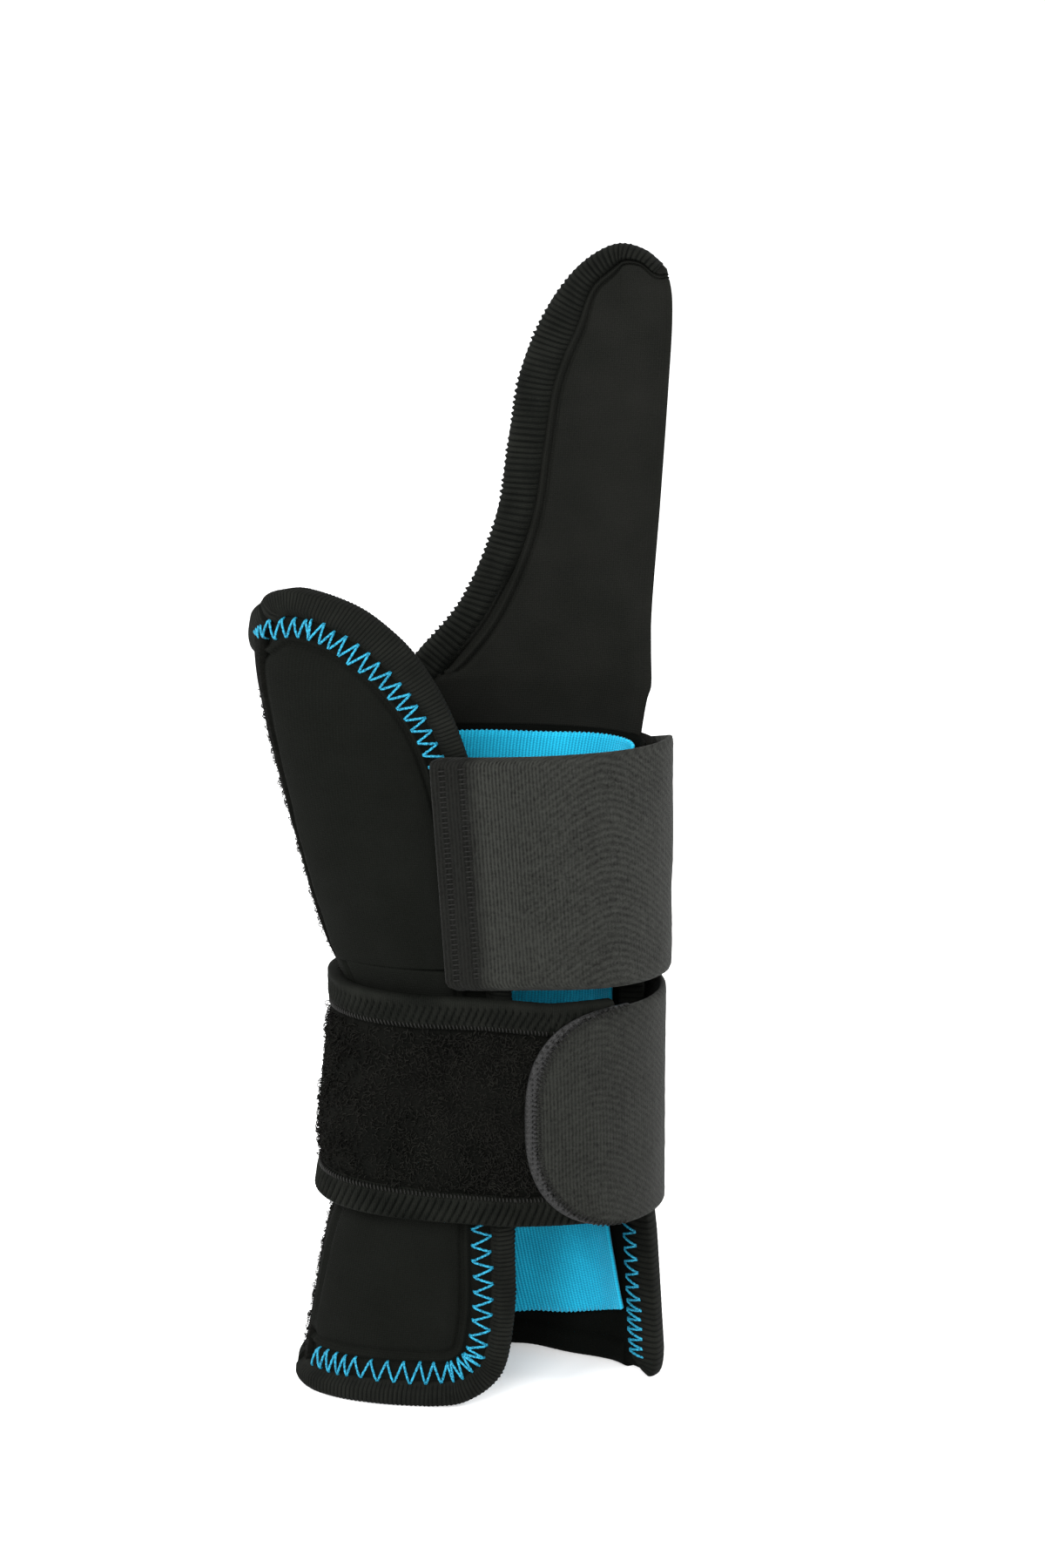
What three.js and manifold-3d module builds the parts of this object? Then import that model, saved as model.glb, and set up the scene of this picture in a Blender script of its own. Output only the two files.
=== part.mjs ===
// Wrist support brace: a neoprene wrap for the forearm and hand, with a stiff tongue behind the index
// finger, a palm wing, an elastic hand strap and a two-piece wrist strap that close with hook and loop.
// Millimetres, +Z from the forearm to the fingertips, -Y towards the palm, standing on its lower hem.
import * as THREE from "three";
import { mergeVertices } from "three/addons/utils/BufferGeometryUtils.js";
import Module from "manifold-3d";

const wasm = await Module();
wasm.setup();

// ---- Driving dimensions ----

// The wrap's inner face by height: [height, left side x, right side x, half depth, backward shift].
const GIRTH = [
  [0, -32.2, 38.4, 20.5, 0],
  [20, -29.8, 37.0, 20.0, 0],
  [35, -27.0, 36.0, 19.3, 0],
  [48, -24.2, 35.6, 18.7, 0],
  [64, -23.6, 35.4, 18.4, 0],
  [90, -22.6, 35.2, 18.4, 0],
  [102, -26.0, 35.4, 18.8, 0],
  [114, -29.5, 35.8, 19.4, 0],
  [136, -35.1, 37.4, 20.2, 0],
  [152, -38.8, 39.6, 20.4, 0],
  [166, -41.6, 43.6, 20.4, 0.3],
  [182, -42.5, 51.0, 20.4, 0.8],
  [253, -46.0, 66.0, 20.4, 4.5],
];
const ROUNDNESS = 2.5; // exponent of the oval section: 2 is an ellipse

// Where the origin lies in the pattern's own coordinates: under the middle of the whole brace.
const ORIGIN = new THREE.Vector3(-0.12, -0.25, 0);

// Layers of the wall, as offsets outwards from the inner face.
const LINING = [0, 0.7];
const CORE = [0.95, 2.65];
const COVER = [2.9, 3.6];
const STAY = [1.3, 2.4];
const FOAM = [1.5, 2.2];
const BLUE_LINING = [-2.6, -1.3];
const BINDING = { inner: [-1.0, -0.4], outer: [4.0, 4.6], width: 8.2, bite: 0.7 };
const PALM_BINDING = { ...BINDING, width: 5.6 };
const INNER_THREAD = [-1.75, -1.45]; // on a binding's inner side
const PALM_THREAD = [3.95, 4.25]; // on the cover beside a binding
const EDGE_INSET = 1.5; // from the binding's outer edge to the raw edge inside it

// Straps: offsets of their layers where they lie on the wrap.
const HAND_HOOK = [5.0, 5.6];
const HAND_WEBBING = [5.9, 7.2];
const BAND_CORE = [5.75, 6.95];
const BAND_LOOP = [7.2, 8.0];
const BAND_BINDING = { inner: [4.95, 5.45], outer: [8.35, 8.85], width: 7.4, bite: 0.6 };
const TAB_HOOK = [9.15, 9.6];
const TAB_WEBBING = [10.0, 11.3];

const HAND_STRAP = { low: 95.2, high: 147.6 };
const WRIST_TAB = { low: 41.4, high: 90.8 };
const WRIST_BAND = { low: 41.6, high: 93.8 };
const WING_LOW = 99.2;
const CUFF_HIGH = 98.0;
const TONGUE_LOW = 155.2;
const BACK_HIGH = 152.8;
const SEAM_ANGLE = 190; // the left seam, just in front of the side
const SIDE_GAP = 0.5; // degrees between pieces that meet at a seam
const STAY_SLACK = 0.5;

const COLUMN_DEGREES = 8;
const ROW_HEIGHT = 20;
const RADIANS = Math.PI / 180;

// ---- The wall's surface ----

// A smooth value between stations, through every one of them.
function between(stations, column, height) {
  const last = stations.length - 1;
  const z = THREE.MathUtils.clamp(height, stations[0][0], stations[last][0]);
  let i = 0;
  while (i < last - 1 && stations[i + 1][0] < z) i += 1;
  const slope = (k) => {
    const low = stations[Math.max(k - 1, 0)];
    const high = stations[Math.min(k + 1, last)];
    return (high[column] - low[column]) / (high[0] - low[0]);
  };
  const [a, b] = [stations[i], stations[i + 1]];
  const span = b[0] - a[0];
  const t = (z - a[0]) / span;
  return (
    a[column] * (2 * t ** 3 - 3 * t ** 2 + 1) +
    slope(i) * span * (t ** 3 - 2 * t ** 2 + t) +
    b[column] * (3 * t ** 2 - 2 * t ** 3) +
    slope(i + 1) * span * (t ** 3 - t ** 2)
  );
}

// The oval section at a height: its middle and its half width and half depth.
function section(height) {
  const left = between(GIRTH, 1, height);
  const right = between(GIRTH, 2, height);
  return {
    x: (left + right) / 2,
    y: between(GIRTH, 4, height),
    a: (right - left) / 2,
    b: between(GIRTH, 3, height),
  };
}

// A point on the wall. Angle 0 is the right side, 90 the back of the hand, 270 the palm.
function wall(angle, height, offset = 0) {
  const { x, y, a, b } = section(height);
  const [c, s] = [Math.cos(angle * RADIANS), Math.sin(angle * RADIANS)];
  const r = (Math.abs(c / a) ** ROUNDNESS + Math.abs(s / b) ** ROUNDNESS) ** (-1 / ROUNDNESS);
  const power = ROUNDNESS - 1;
  const normal = new THREE.Vector3(
    (Math.sign(c) * Math.abs((r * c) / a) ** power) / a,
    (Math.sign(s) * Math.abs((r * s) / b) ** power) / b,
    0,
  ).normalize();
  return new THREE.Vector3(x + r * c, y + r * s, height).addScaledVector(normal, offset);
}

// Millimetres along the wall for one degree of angle.
function millimetresPerDegree(angle, height) {
  return wall(angle - 0.5, height).distanceTo(wall(angle + 0.5, height));
}

// The angle at which the wall's outer face has this x: on the palm side, or on the back.
function angleAt(x, height, side = "palm", offset = COVER[1]) {
  let [low, high] = side === "palm" ? [180, 360] : [180, 0];
  for (let i = 0; i < 40; i += 1) {
    const middle = (low + high) / 2;
    if (wall(middle, height, offset).x < x) low = middle;
    else high = middle;
  }
  return (low + high) / 2;
}

// ---- Lines on the wall, as functions of t from 0 to 1 that give [angle, height] ----

// A smooth line through points given as seen from the palm: [x, height].
function drawn(points, side) {
  const curve = new THREE.CatmullRomCurve3(
    points.map(([x, z]) => new THREE.Vector3(x, 0, z)),
    false,
    "centripetal",
  );
  return (t) => {
    const p = curve.getPointAt(THREE.MathUtils.clamp(t, 0, 1));
    const height = Math.max(p.z, 0);
    return [angleAt(p.x, height, side), height];
  };
}

// A smooth line through points given as [angle, height].
function marked(points) {
  const curve = new THREE.CatmullRomCurve3(
    points.map(([angle, z]) => new THREE.Vector3(angle, z, 0)),
    false,
    "centripetal",
  );
  return (t) => {
    const p = curve.getPoint(THREE.MathUtils.clamp(t, 0, 1));
    return [p.x, p.y];
  };
}

const straight = (from, to) => (t) => [
  THREE.MathUtils.lerp(from[0], to[0], t),
  THREE.MathUtils.lerp(from[1], to[1], t),
];

const stretch = (line, from, to) => (t) => line(THREE.MathUtils.lerp(from, to, t));

// The same line, moved to the left of its own direction by a distance in millimetres.
function inset(line, distance) {
  const step = 1e-3;
  return (t) => {
    const [angle, height] = line(t);
    const before = line(Math.max(t - step, 0));
    const after = line(Math.min(t + step, 1));
    const scale = millimetresPerDegree(angle, height);
    const along = new THREE.Vector2((after[0] - before[0]) * scale, after[1] - before[1]).normalize();
    return [angle - (along.y * distance) / scale, height + along.x * distance];
  };
}

// ---- Solids ----

function geometryOf(points, triangles) {
  const geometry = new THREE.BufferGeometry();
  geometry.setAttribute(
    "position",
    new THREE.Float32BufferAttribute(points.flatMap((p) => [p.x, p.y, p.z]), 3),
  );
  geometry.setIndex(triangles);
  return geometry;
}

// The same, turned round where its faces point inwards.
function facingOut(points, triangles) {
  let volume = 0;
  for (let i = 0; i < triangles.length; i += 3) {
    const [a, b, c] = triangles.slice(i, i + 3).map((k) => points[k]);
    volume += a.dot(new THREE.Vector3().crossVectors(b, c));
  }
  return geometryOf(points, volume < 0 ? triangles.reverse() : triangles);
}

const amount = (offset, angle, height) => (typeof offset === "function" ? offset(angle, height) : offset);

// A sheet of cloth between two offsets. place(u, v) gives [angle, height], u leftwards round the back.
function sheet(place, [inner, outer], columns, rows) {
  const points = [];
  for (const offset of [inner, outer]) {
    for (let j = 0; j <= rows; j += 1) {
      for (let i = 0; i <= columns; i += 1) {
        const [angle, height] = place(i / columns, j / rows);
        points.push(wall(angle, height, amount(offset, angle, height)));
      }
    }
  }
  const layer = (columns + 1) * (rows + 1);
  const at = (i, j, k) => k * layer + j * (columns + 1) + i;
  const triangles = [];
  const quad = (a, b, c, d) => {
    const other = points[b].distanceTo(points[d]) < points[a].distanceTo(points[c]);
    triangles.push(...(other ? [a, b, d, b, c, d] : [a, b, c, a, c, d]));
  };
  for (let j = 0; j < rows; j += 1) {
    for (let i = 0; i < columns; i += 1) {
      quad(at(i, j, 1), at(i + 1, j, 1), at(i + 1, j + 1, 1), at(i, j + 1, 1));
      quad(at(i, j, 0), at(i, j + 1, 0), at(i + 1, j + 1, 0), at(i + 1, j, 0));
    }
    quad(at(0, j, 0), at(0, j, 1), at(0, j + 1, 1), at(0, j + 1, 0));
    quad(at(columns, j, 1), at(columns, j, 0), at(columns, j + 1, 0), at(columns, j + 1, 1));
  }
  for (let i = 0; i < columns; i += 1) {
    quad(at(i, 0, 0), at(i + 1, 0, 0), at(i + 1, 0, 1), at(i, 0, 1));
    quad(at(i, rows, 1), at(i + 1, rows, 1), at(i + 1, rows, 0), at(i, rows, 0));
  }
  return geometryOf(points, triangles);
}

// The inside of four border lines: low and high run leftwards round the back, right and left run up.
function filled(low, high, right, left) {
  const mix = THREE.MathUtils.lerp;
  return (u, v) =>
    [0, 1].map(
      (k) =>
        mix(low(u)[k], high(u)[k], v) +
        mix(right(v)[k], left(v)[k], u) -
        mix(mix(low(0)[k], low(1)[k], u), mix(high(0)[k], high(1)[k], u), v),
    );
}

// A closed body through sections that all have the same outline points, with flat ends.
function loft(sections, outline) {
  const count = outline.length;
  const points = sections.flat();
  const triangles = [];
  for (let j = 0; j + 1 < sections.length; j += 1) {
    for (let i = 0; i < count; i += 1) {
      const next = (i + 1) % count;
      const [a, b] = [j * count + i, j * count + next];
      triangles.push(a, b, b + count, a, b + count, a + count);
    }
  }
  const last = (sections.length - 1) * count;
  const flat = outline.map(([x, y]) => new THREE.Vector2(x, y));
  const clockwise = THREE.ShapeUtils.isClockWise(flat);
  for (const [a, b, c] of THREE.ShapeUtils.triangulateShape(flat, [])) {
    const [second, third] = clockwise ? [c, b] : [b, c];
    triangles.push(a, third, second);
    triangles.push(last + a, last + second, last + third);
  }
  return facingOut(points, triangles);
}

// A folded tape round the edge of the wall, which lies to the left of the line's direction.
function binding(line, { inner, outer, width, bite }, steps, folds = 1) {
  const across = (offset, from, to) => {
    const run = [];
    for (let i = 1; i < folds; i += 1) run.push([THREE.MathUtils.lerp(from, to, i / folds), offset]);
    return run;
  };
  const outline = [
    [width, inner[1]],
    ...across(inner[1], width, bite),
    [bite, inner[1]],
    [bite, outer[0]],
    ...across(outer[0], bite, width),
    [width, outer[0]],
    [width, outer[1]],
    ...across(outer[1], width, 0),
    [0, outer[1]],
    [0, inner[0]],
    ...across(inner[0], 0, width),
    [width, inner[0]],
  ];
  const sections = [];
  for (let i = 0; i <= steps; i += 1) {
    sections.push(
      outline.map(([w, offset]) => {
        const [angle, height] = inset(line, w)(i / steps);
        return wall(angle, height, offset);
      }),
    );
  }
  return loft(sections, outline);
}

// A zigzag of thread that lies on the wall, between two distances from the edge.
function zigzag(line, near, far, turns, [bottom, top]) {
  const halfWidth = 0.24;
  const tips = [];
  for (let i = 0; i <= turns * 2; i += 1) {
    tips.push(inset(line, i % 2 ? far : near)(i / (turns * 2)));
  }
  const flat = tips.map(([angle, height]) => {
    const scale = millimetresPerDegree(angle, height);
    return { angle, height, scale };
  });
  const direction = (from, to) =>
    new THREE.Vector2((to.angle - from.angle) * from.scale, to.height - from.height).normalize();
  const sections = flat.map((tip, i) => {
    const before = direction(flat[Math.max(i - 1, 0)], flat[Math.max(i, 1)]);
    const after = direction(flat[Math.min(i, flat.length - 2)], flat[Math.min(i + 1, flat.length - 1)]);
    const normal = new THREE.Vector2(-before.y, before.x);
    const mitre = new THREE.Vector2(-before.y - after.y, before.x + after.x).normalize();
    const reach = halfWidth / Math.max(mitre.dot(normal), 0.2);
    const corner = (side, offset) =>
      wall(tip.angle + (mitre.x * reach * side) / tip.scale, tip.height + mitre.y * reach * side, offset);
    return [corner(-1, bottom), corner(-1, top), corner(1, top), corner(1, bottom)];
  });
  return loft(sections, [
    [-1, bottom],
    [-1, top],
    [1, top],
    [1, bottom],
  ]);
}

// The same body with another cut out of it.
function cut(geometry, tool) {
  const solid = (g) => {
    const merged = mergeVertices(g, 1e-4);
    return new wasm.Manifold(
      new wasm.Mesh({
        numProp: 3,
        vertProperties: merged.attributes.position.array,
        triVerts: new Uint32Array(merged.index.array),
      }),
    );
  };
  const mesh = solid(geometry).subtract(solid(tool)).getMesh();
  const points = [];
  for (let i = 0; i < mesh.vertProperties.length; i += mesh.numProp) {
    points.push(new THREE.Vector3(...mesh.vertProperties.subarray(i, i + 3)));
  }
  return geometryOf(points, Array.from(mesh.triVerts));
}

// ---- Borders of the pieces ----

// The palm edge as seen from the palm: from the wing's top left, over its top and down its free side.
const wingEdge = drawn([
  [wall(SEAM_ANGLE + 1, 178, COVER[1]).x, 178.0],
  [-42.2, 181.4],
  [-37.0, 182.6],
  [-29.5, 181.5],
  [-21.8, 178.3],
  [-14.1, 172.9],
  [-8.4, 166.2],
  [-3.6, 158.3],
  [0.4, 148.5],
  [4.6, 133.0],
  [8.0, 115.0],
  [10.0, WING_LOW],
]);
const WING_CORNER = 0.5; // share of that line where the top ends and the free side begins

// The cuff's free side, its rounded corner and its lower hem.
const cuffEdge = drawn([
  [10.2, CUFF_HIGH],
  [11.0, 80.0],
  [11.2, 40.0],
  [11.0, 19.0],
  [8.0, 7.0],
  [0.5, 1.2],
  [-8.0, 0.0],
  [-20.0, 0.0],
  [-33.5, 0.0],
]);
const CUFF_CORNER = 0.655;

// The right free edge of the back panel: its angle by height, from the hem up.
const RIGHT_EDGE = [
  [0, 0],
  [9, -2],
  [20, -4],
  [35, -5],
  [60, -6],
  [90, -4],
  [118, 4],
  [138, 14],
  [BACK_HIGH, 22],
];
const rightEdge = (t) => {
  const height = BACK_HIGH * THREE.MathUtils.clamp(t, 0, 1);
  return [between(RIGHT_EDGE, 1, height), height];
};

// The back panel's top edge, from the tongue to the left seam.
const TONGUE_LEFT = angleAt(-15.5, BACK_HIGH, "back") + 1.5;
const BACK_TOP = [
  [TONGUE_LEFT, BACK_HIGH + EDGE_INSET],
  [132, 155.0],
  [150, 158.5],
  [170, 164.0],
  [SEAM_ANGLE, 167.5],
];
const backTopAt = (angle) => between(BACK_TOP, 1, angle);
const backTop = (t) => {
  const clamped = THREE.MathUtils.clamp(t, 0, 1);
  const angle = THREE.MathUtils.lerp(TONGUE_LEFT + 0.5, SEAM_ANGLE - SIDE_GAP, clamped);
  return [angle, backTopAt(angle)];
};

// The tongue's bound edge, from its foot over its tip to the folded right side.
const tongueEdge = drawn(
  [
    [-15.5, TONGUE_LOW + 0.2],
    [-9.3, 161.4],
    [1.4, 173.0],
    [8.8, 192.0],
    [11.2, 210.0],
    [13.8, 224.0],
    [19.0, 237.8],
    [26.6, 248.5],
    [34.5, 252.6],
    [40.0, 251.4],
    [44.0, 248.4],
  ],
  "back",
);
const TONGUE_CORNER = 0.9;

// The tongue's folded right side, from its foot to the tip.
const tongueFold = drawn(
  [
    [40.2, TONGUE_LOW],
    [41.0, 172.0],
    [43.2, 196.0],
    [45.0, 220.0],
    [45.8, 236.0],
    [45.6, 243.0],
    [44.4, 247.6],
  ],
  "back",
);

const seamLine = (low, high) => straight([SEAM_ANGLE + SIDE_GAP, low], [SEAM_ANGLE + SIDE_GAP, high]);

// ---- Pieces of the wrap ----

const BACK_LEFT = SEAM_ANGLE - SIDE_GAP;
const rightInner = (t) => {
  const height = THREE.MathUtils.lerp(EDGE_INSET, BACK_HIGH, t);
  const angle = between(RIGHT_EDGE, 1, height);
  return [angle + EDGE_INSET / millimetresPerDegree(angle, height), height];
};
const backInnerTop = (angle) => (angle > TONGUE_LEFT ? backTopAt(angle) - EDGE_INSET : BACK_HIGH);
const backPlace = filled(
  straight(rightInner(0), [BACK_LEFT, EDGE_INSET]),
  (u) => {
    const angle = THREE.MathUtils.lerp(rightInner(1)[0], BACK_LEFT, u);
    return [angle, backInnerTop(angle)];
  },
  rightInner,
  straight([BACK_LEFT, EDGE_INSET], [BACK_LEFT, backInnerTop(BACK_LEFT)]),
);
const BACK_COLUMNS = 26;
const BACK_ROWS = 8;

const wingInner = inset(wingEdge, -EDGE_INSET);
const wingPlace = filled(
  (u) => [THREE.MathUtils.lerp(SEAM_ANGLE + SIDE_GAP, wingInner(1)[0], u), WING_LOW],
  (u) => wingInner(WING_CORNER * u),
  (v) => straight([SEAM_ANGLE + SIDE_GAP, WING_LOW], wingInner(0))(v),
  (v) => wingInner(THREE.MathUtils.lerp(1, WING_CORNER, v)),
);

const cuffInner = inset(cuffEdge, -EDGE_INSET);
const cuffPlace = filled(
  (u) => cuffInner(THREE.MathUtils.lerp(1, CUFF_CORNER, u)),
  (u) => [THREE.MathUtils.lerp(SEAM_ANGLE + SIDE_GAP, cuffInner(0)[0], u), CUFF_HIGH],
  (v) => straight(cuffInner(1), [SEAM_ANGLE + SIDE_GAP, CUFF_HIGH])(v),
  (v) => cuffInner(THREE.MathUtils.lerp(CUFF_CORNER, 0, v)),
);

// A flat bar let into the wall, with clipped corners, between two x and two heights.
function bar(x0, x1, low, high, layer, side, grow = 0) {
  const corner = 5;
  const place = (u, v) => {
    const height = THREE.MathUtils.lerp(low - grow, high + grow, v);
    const fromEnd = Math.min(height - low + grow, high + grow - height);
    const clip = Math.max(corner - fromEnd, 0) * 0.6;
    const [left, right] = [x0 - grow + clip, x1 + grow - clip];
    const x = side === "back" ? THREE.MathUtils.lerp(right, left, u) : THREE.MathUtils.lerp(left, right, u);
    return [angleAt(x, height, side), height];
  };
  return sheet(place, layer, 3, 10);
}

const WINDOW = [CORE[0] - 2, CORE[1] + 2];
const dorsalStay = (layer, grow) => bar(-6, 16, 14, 147, layer, "back", grow);
const fingerStay = (layer, grow) => bar(21, 34, 168, 228, layer, "back", grow);
const palmStay = (layer, grow) => bar(-26, -8, 104, 152, layer, "palm", grow);
const cuffStay = (layer, grow) => bar(-22, -4, 18, 92, layer, "palm", grow);

// Part of the tongue between its folded right side (across 1) and its bound left side (across 0).
function tonguePatch(layer, { right, left, top, low, edge }) {
  const bound = inset(tongueEdge, edge);
  const place = (u, v) => {
    const rise = top * Math.sin((v * Math.PI) / 2);
    const [from, to] = [bound(rise * TONGUE_CORNER), tongueFold(rise)];
    const across = THREE.MathUtils.lerp(right, left, u);
    const height = v === 0 ? low : THREE.MathUtils.lerp(from[1], to[1], across);
    return [THREE.MathUtils.lerp(from[0], to[0], across), height];
  };
  return sheet(place, layer, 7, 13);
}

// One sheet of cloth folded at its right side, with a pocket for the foam that opens at the left and below.
function tongueSleeve() {
  const whole = { right: 1, left: 0, top: 1, low: TONGUE_LOW, edge: EDGE_INSET };
  const pocket = { right: 0.96, left: -0.06, top: 0.965, low: TONGUE_LOW - 2, edge: EDGE_INSET };
  return cut(tonguePatch([LINING[0], COVER[1]], whole), tonguePatch([LINING[1], COVER[0]], pocket));
}

const FOAM_PATCH = { right: 0.93, left: 0, top: 0.94, low: TONGUE_LOW, edge: EDGE_INSET + 1 };
const tongueFoam = (layer) => tonguePatch(layer, FOAM_PATCH);

// The blue knit panel inside the back.
const bluePlace = filled(
  straight([12, 17.0], [118, 9.8]),
  straight([30, 144.2], [118, 143.4]),
  marked([
    [12, 17.0],
    [16, 26],
    [20, 35],
    [18, 60],
    [16, 90],
    [20, 118],
    [30, 144.2],
  ]),
  straight([118, 9.8], [118, 143.4]),
);

// ---- Straps ----

const smooth = (low, high, value) => THREE.MathUtils.smootherstep(value, low, high);

// How far the hand strap stands off: on the palm it lies on the wing, at the right side it bows out.
const HAND_SIDE_X = 44.15;
function handStrapOffset(angle, height) {
  const turn = angle > 180 ? angle - 360 : angle;
  const side = HAND_SIDE_X - section(height).x - section(height).a - HAND_WEBBING[0];
  const bow = turn < 0 ? smooth(-75, -12, turn) : 1 - smooth(12, 70, turn);
  return side * bow + (turn > 0 ? (1 - bow) * (BINDING.outer[1] + 0.3 - HAND_WEBBING[0]) : 0);
}

// The tab lies on the band at the palm, and drops to the wrap round the right side.
const TAB_SIDE_X = 41.6;
function tabOffset(angle, height) {
  const turn = angle > 180 ? angle - 360 : angle;
  const side = TAB_SIDE_X - section(height).x - section(height).a - TAB_WEBBING[0];
  const bow = turn < 0 ? smooth(-42, -6, turn) : 1;
  const back = turn > 0 ? smooth(8, 70, turn) : 0;
  return THREE.MathUtils.lerp(side * bow, BINDING.outer[1] + 0.3 - TAB_WEBBING[0], back);
}

const laid = ([inner, outer], lift) => [
  (angle, height) => inner + lift(angle, height),
  (angle, height) => outer + lift(angle, height),
];

const HAND_HINGE = 359.7;
const HAND_END = { top: -7.2, bottom: -3.4 };
function handStrapPlace(from, to, cornerRadius) {
  return (u, v) => {
    const height = THREE.MathUtils.lerp(HAND_STRAP.low, HAND_STRAP.high, v);
    const fromEnd = Math.min(height - HAND_STRAP.low, HAND_STRAP.high - height);
    const round = Math.max(cornerRadius - fromEnd, 0);
    const end = from(height) + (cornerRadius - Math.sqrt(Math.max(cornerRadius ** 2 - round ** 2, 0)));
    return [THREE.MathUtils.lerp(angleAt(end, height), to(height), u), height];
  };
}
const handEnd = (height) => {
  const v = (height - HAND_STRAP.low) / (HAND_STRAP.high - HAND_STRAP.low);
  return THREE.MathUtils.lerp(HAND_END.bottom, HAND_END.top, v);
};

// The tab's round end and the hook patch, which shows as a rim round it.
const TAB_END_X = 14.6;
const TAB_HINGE = 359.7;
function tabEnd(height, low, high, x) {
  const t = (2 * height - low - high) / (high - low);
  const reach = 19;
  return x + reach * (1 - (1 - Math.min(Math.abs(t), 0.995) ** 2.6) ** (1 / 2.2));
}
function tabPlace(low, high, x, to) {
  return (u, v) => {
    const t = Math.sin((v - 0.5) * Math.PI) / 2 + 0.5;
    const height = THREE.MathUtils.lerp(low, high, t);
    return [THREE.MathUtils.lerp(angleAt(tabEnd(height, low, high, x), height), to(height), u), height];
  };
}

const BAND_HINGE = 180.3;
const BAND_END_X = 24;
const bandPlace = (low, high) => (u, v) => {
  const height = THREE.MathUtils.lerp(low, high, v);
  return [THREE.MathUtils.lerp(BAND_HINGE, angleAt(BAND_END_X, height), u), height];
};

// ---- Finishes ----

const cloth = (color, roughness = 0.9) => new THREE.MeshStandardMaterial({ color, roughness, metalness: 0 });
const FINISH = {
  neoprene: cloth(0x222320),
  knit: cloth(0x171816),
  pile: cloth(0x1a1b19, 1),
  tape: cloth(0x242522),
  blue: cloth(0x1ba6d2),
  thread: cloth(0x46b4d6, 0.6),
  webbing: cloth(0x3a3b38, 0.75),
  hook: cloth(0x151515, 0.6),
  foam: cloth(0x2c2c2c, 1),
  aluminium: new THREE.MeshStandardMaterial({ color: 0xb4b8bb, roughness: 0.35, metalness: 1 }),
  plastic: cloth(0x2a2c2e, 0.5),
};

const brace = new THREE.Group();
brace.position.copy(ORIGIN).negate();

function add(group, name, geometry, material) {
  const mesh = new THREE.Mesh(geometry, material);
  mesh.name = name;
  group.add(mesh);
}

function wrapGroup() {
  const group = new THREE.Group();
  const back = (layer) => sheet(backPlace, layer, BACK_COLUMNS, BACK_ROWS);
  add(group, "back_lining", back(LINING), FINISH.knit);
  add(group, "back_core", cut(back(CORE), dorsalStay(WINDOW, STAY_SLACK)), FINISH.neoprene);
  add(group, "back_loop_cover", back(COVER), FINISH.pile);
  add(group, "dorsal_stay", dorsalStay(STAY, 0), FINISH.aluminium);
  add(group, "blue_lining", sheet(bluePlace, BLUE_LINING, 15, 7), FINISH.blue);
  add(group, "right_edge_binding", binding(stretch(rightEdge, 1, 0), BINDING, 18, 2), FINISH.tape);
  const topLine = stretch(backTop, 1, 0);
  add(group, "back_top_binding", binding(topLine, { ...BINDING, width: 6 }, 12), FINISH.tape);
  const hem = straight([16.5, 0], [SEAM_ANGLE - SIDE_GAP, 0]);
  add(group, "back_hem_binding", binding(hem, { ...BINDING, width: 6 }, 24), FINISH.tape);
  const edgeThread = stretch(rightEdge, 0.245, 0.035);
  add(group, "right_edge_stitching", zigzag(edgeThread, 2.6, 7.2, 11, INNER_THREAD), FINISH.thread);
  const cuff = (layer) => sheet(cuffPlace, layer, 10, 7);
  add(group, "cuff_lining", cuff(LINING), FINISH.knit);
  add(group, "cuff_core", cut(cuff(CORE), cuffStay(WINDOW, STAY_SLACK)), FINISH.neoprene);
  add(group, "cuff_cover", cuff(COVER), FINISH.neoprene);
  add(group, "cuff_stay", cuffStay(STAY, 0), FINISH.plastic);
  add(group, "cuff_binding", binding(stretch(cuffEdge, 1, 0), PALM_BINDING, 26), FINISH.tape);
  const cuffThread = stretch(cuffEdge, 0.985, 0.375);
  add(group, "cuff_stitching", zigzag(cuffThread, 6.9, 11.3, 24, PALM_THREAD), FINISH.thread);
  return group;
}

function tongueGroup() {
  const group = new THREE.Group();
  add(group, "tongue_sleeve", tongueSleeve(), FINISH.neoprene);
  add(group, "tongue_foam", cut(tongueFoam(FOAM), fingerStay(WINDOW, STAY_SLACK)), FINISH.foam);
  add(group, "finger_stay", fingerStay(STAY, 0), FINISH.aluminium);
  add(group, "tongue_binding", binding(stretch(tongueEdge, 0.055, 1), BINDING, 26), FINISH.tape);
  return group;
}

function wingGroup() {
  const group = new THREE.Group();
  const wing = (layer) => sheet(wingPlace, layer, 9, 7);
  add(group, "wing_lining", wing(LINING), FINISH.knit);
  add(group, "wing_core", cut(wing(CORE), palmStay(WINDOW, STAY_SLACK)), FINISH.neoprene);
  add(group, "wing_cover", wing(COVER), FINISH.neoprene);
  add(group, "palm_stay", palmStay(STAY, 0), FINISH.plastic);
  add(group, "wing_binding", binding(stretch(wingEdge, 1, 0), PALM_BINDING, 28), FINISH.tape);
  const thread = stretch(wingEdge, 0.66, 0.03);
  add(group, "wing_stitching", zigzag(thread, 7.3, 11.8, 21, PALM_THREAD), FINISH.thread);
  return group;
}

function handStrapGroup() {
  const group = new THREE.Group();
  const webbing = laid(HAND_WEBBING, handStrapOffset);
  const hinge = () => HAND_HINGE;
  add(group, "hand_strap_webbing", sheet(handStrapPlace(handEnd, hinge, 2), webbing, 16, 5), FINISH.webbing);
  const hookEnd = (height) => angleAt(handEnd(height) + 24, height);
  const place = handStrapPlace((height) => handEnd(height) + 0.4, hookEnd, 2);
  add(group, "hand_strap_hook", sheet(place, laid(HAND_HOOK, handStrapOffset), 5, 4), FINISH.hook);
  return group;
}

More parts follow.
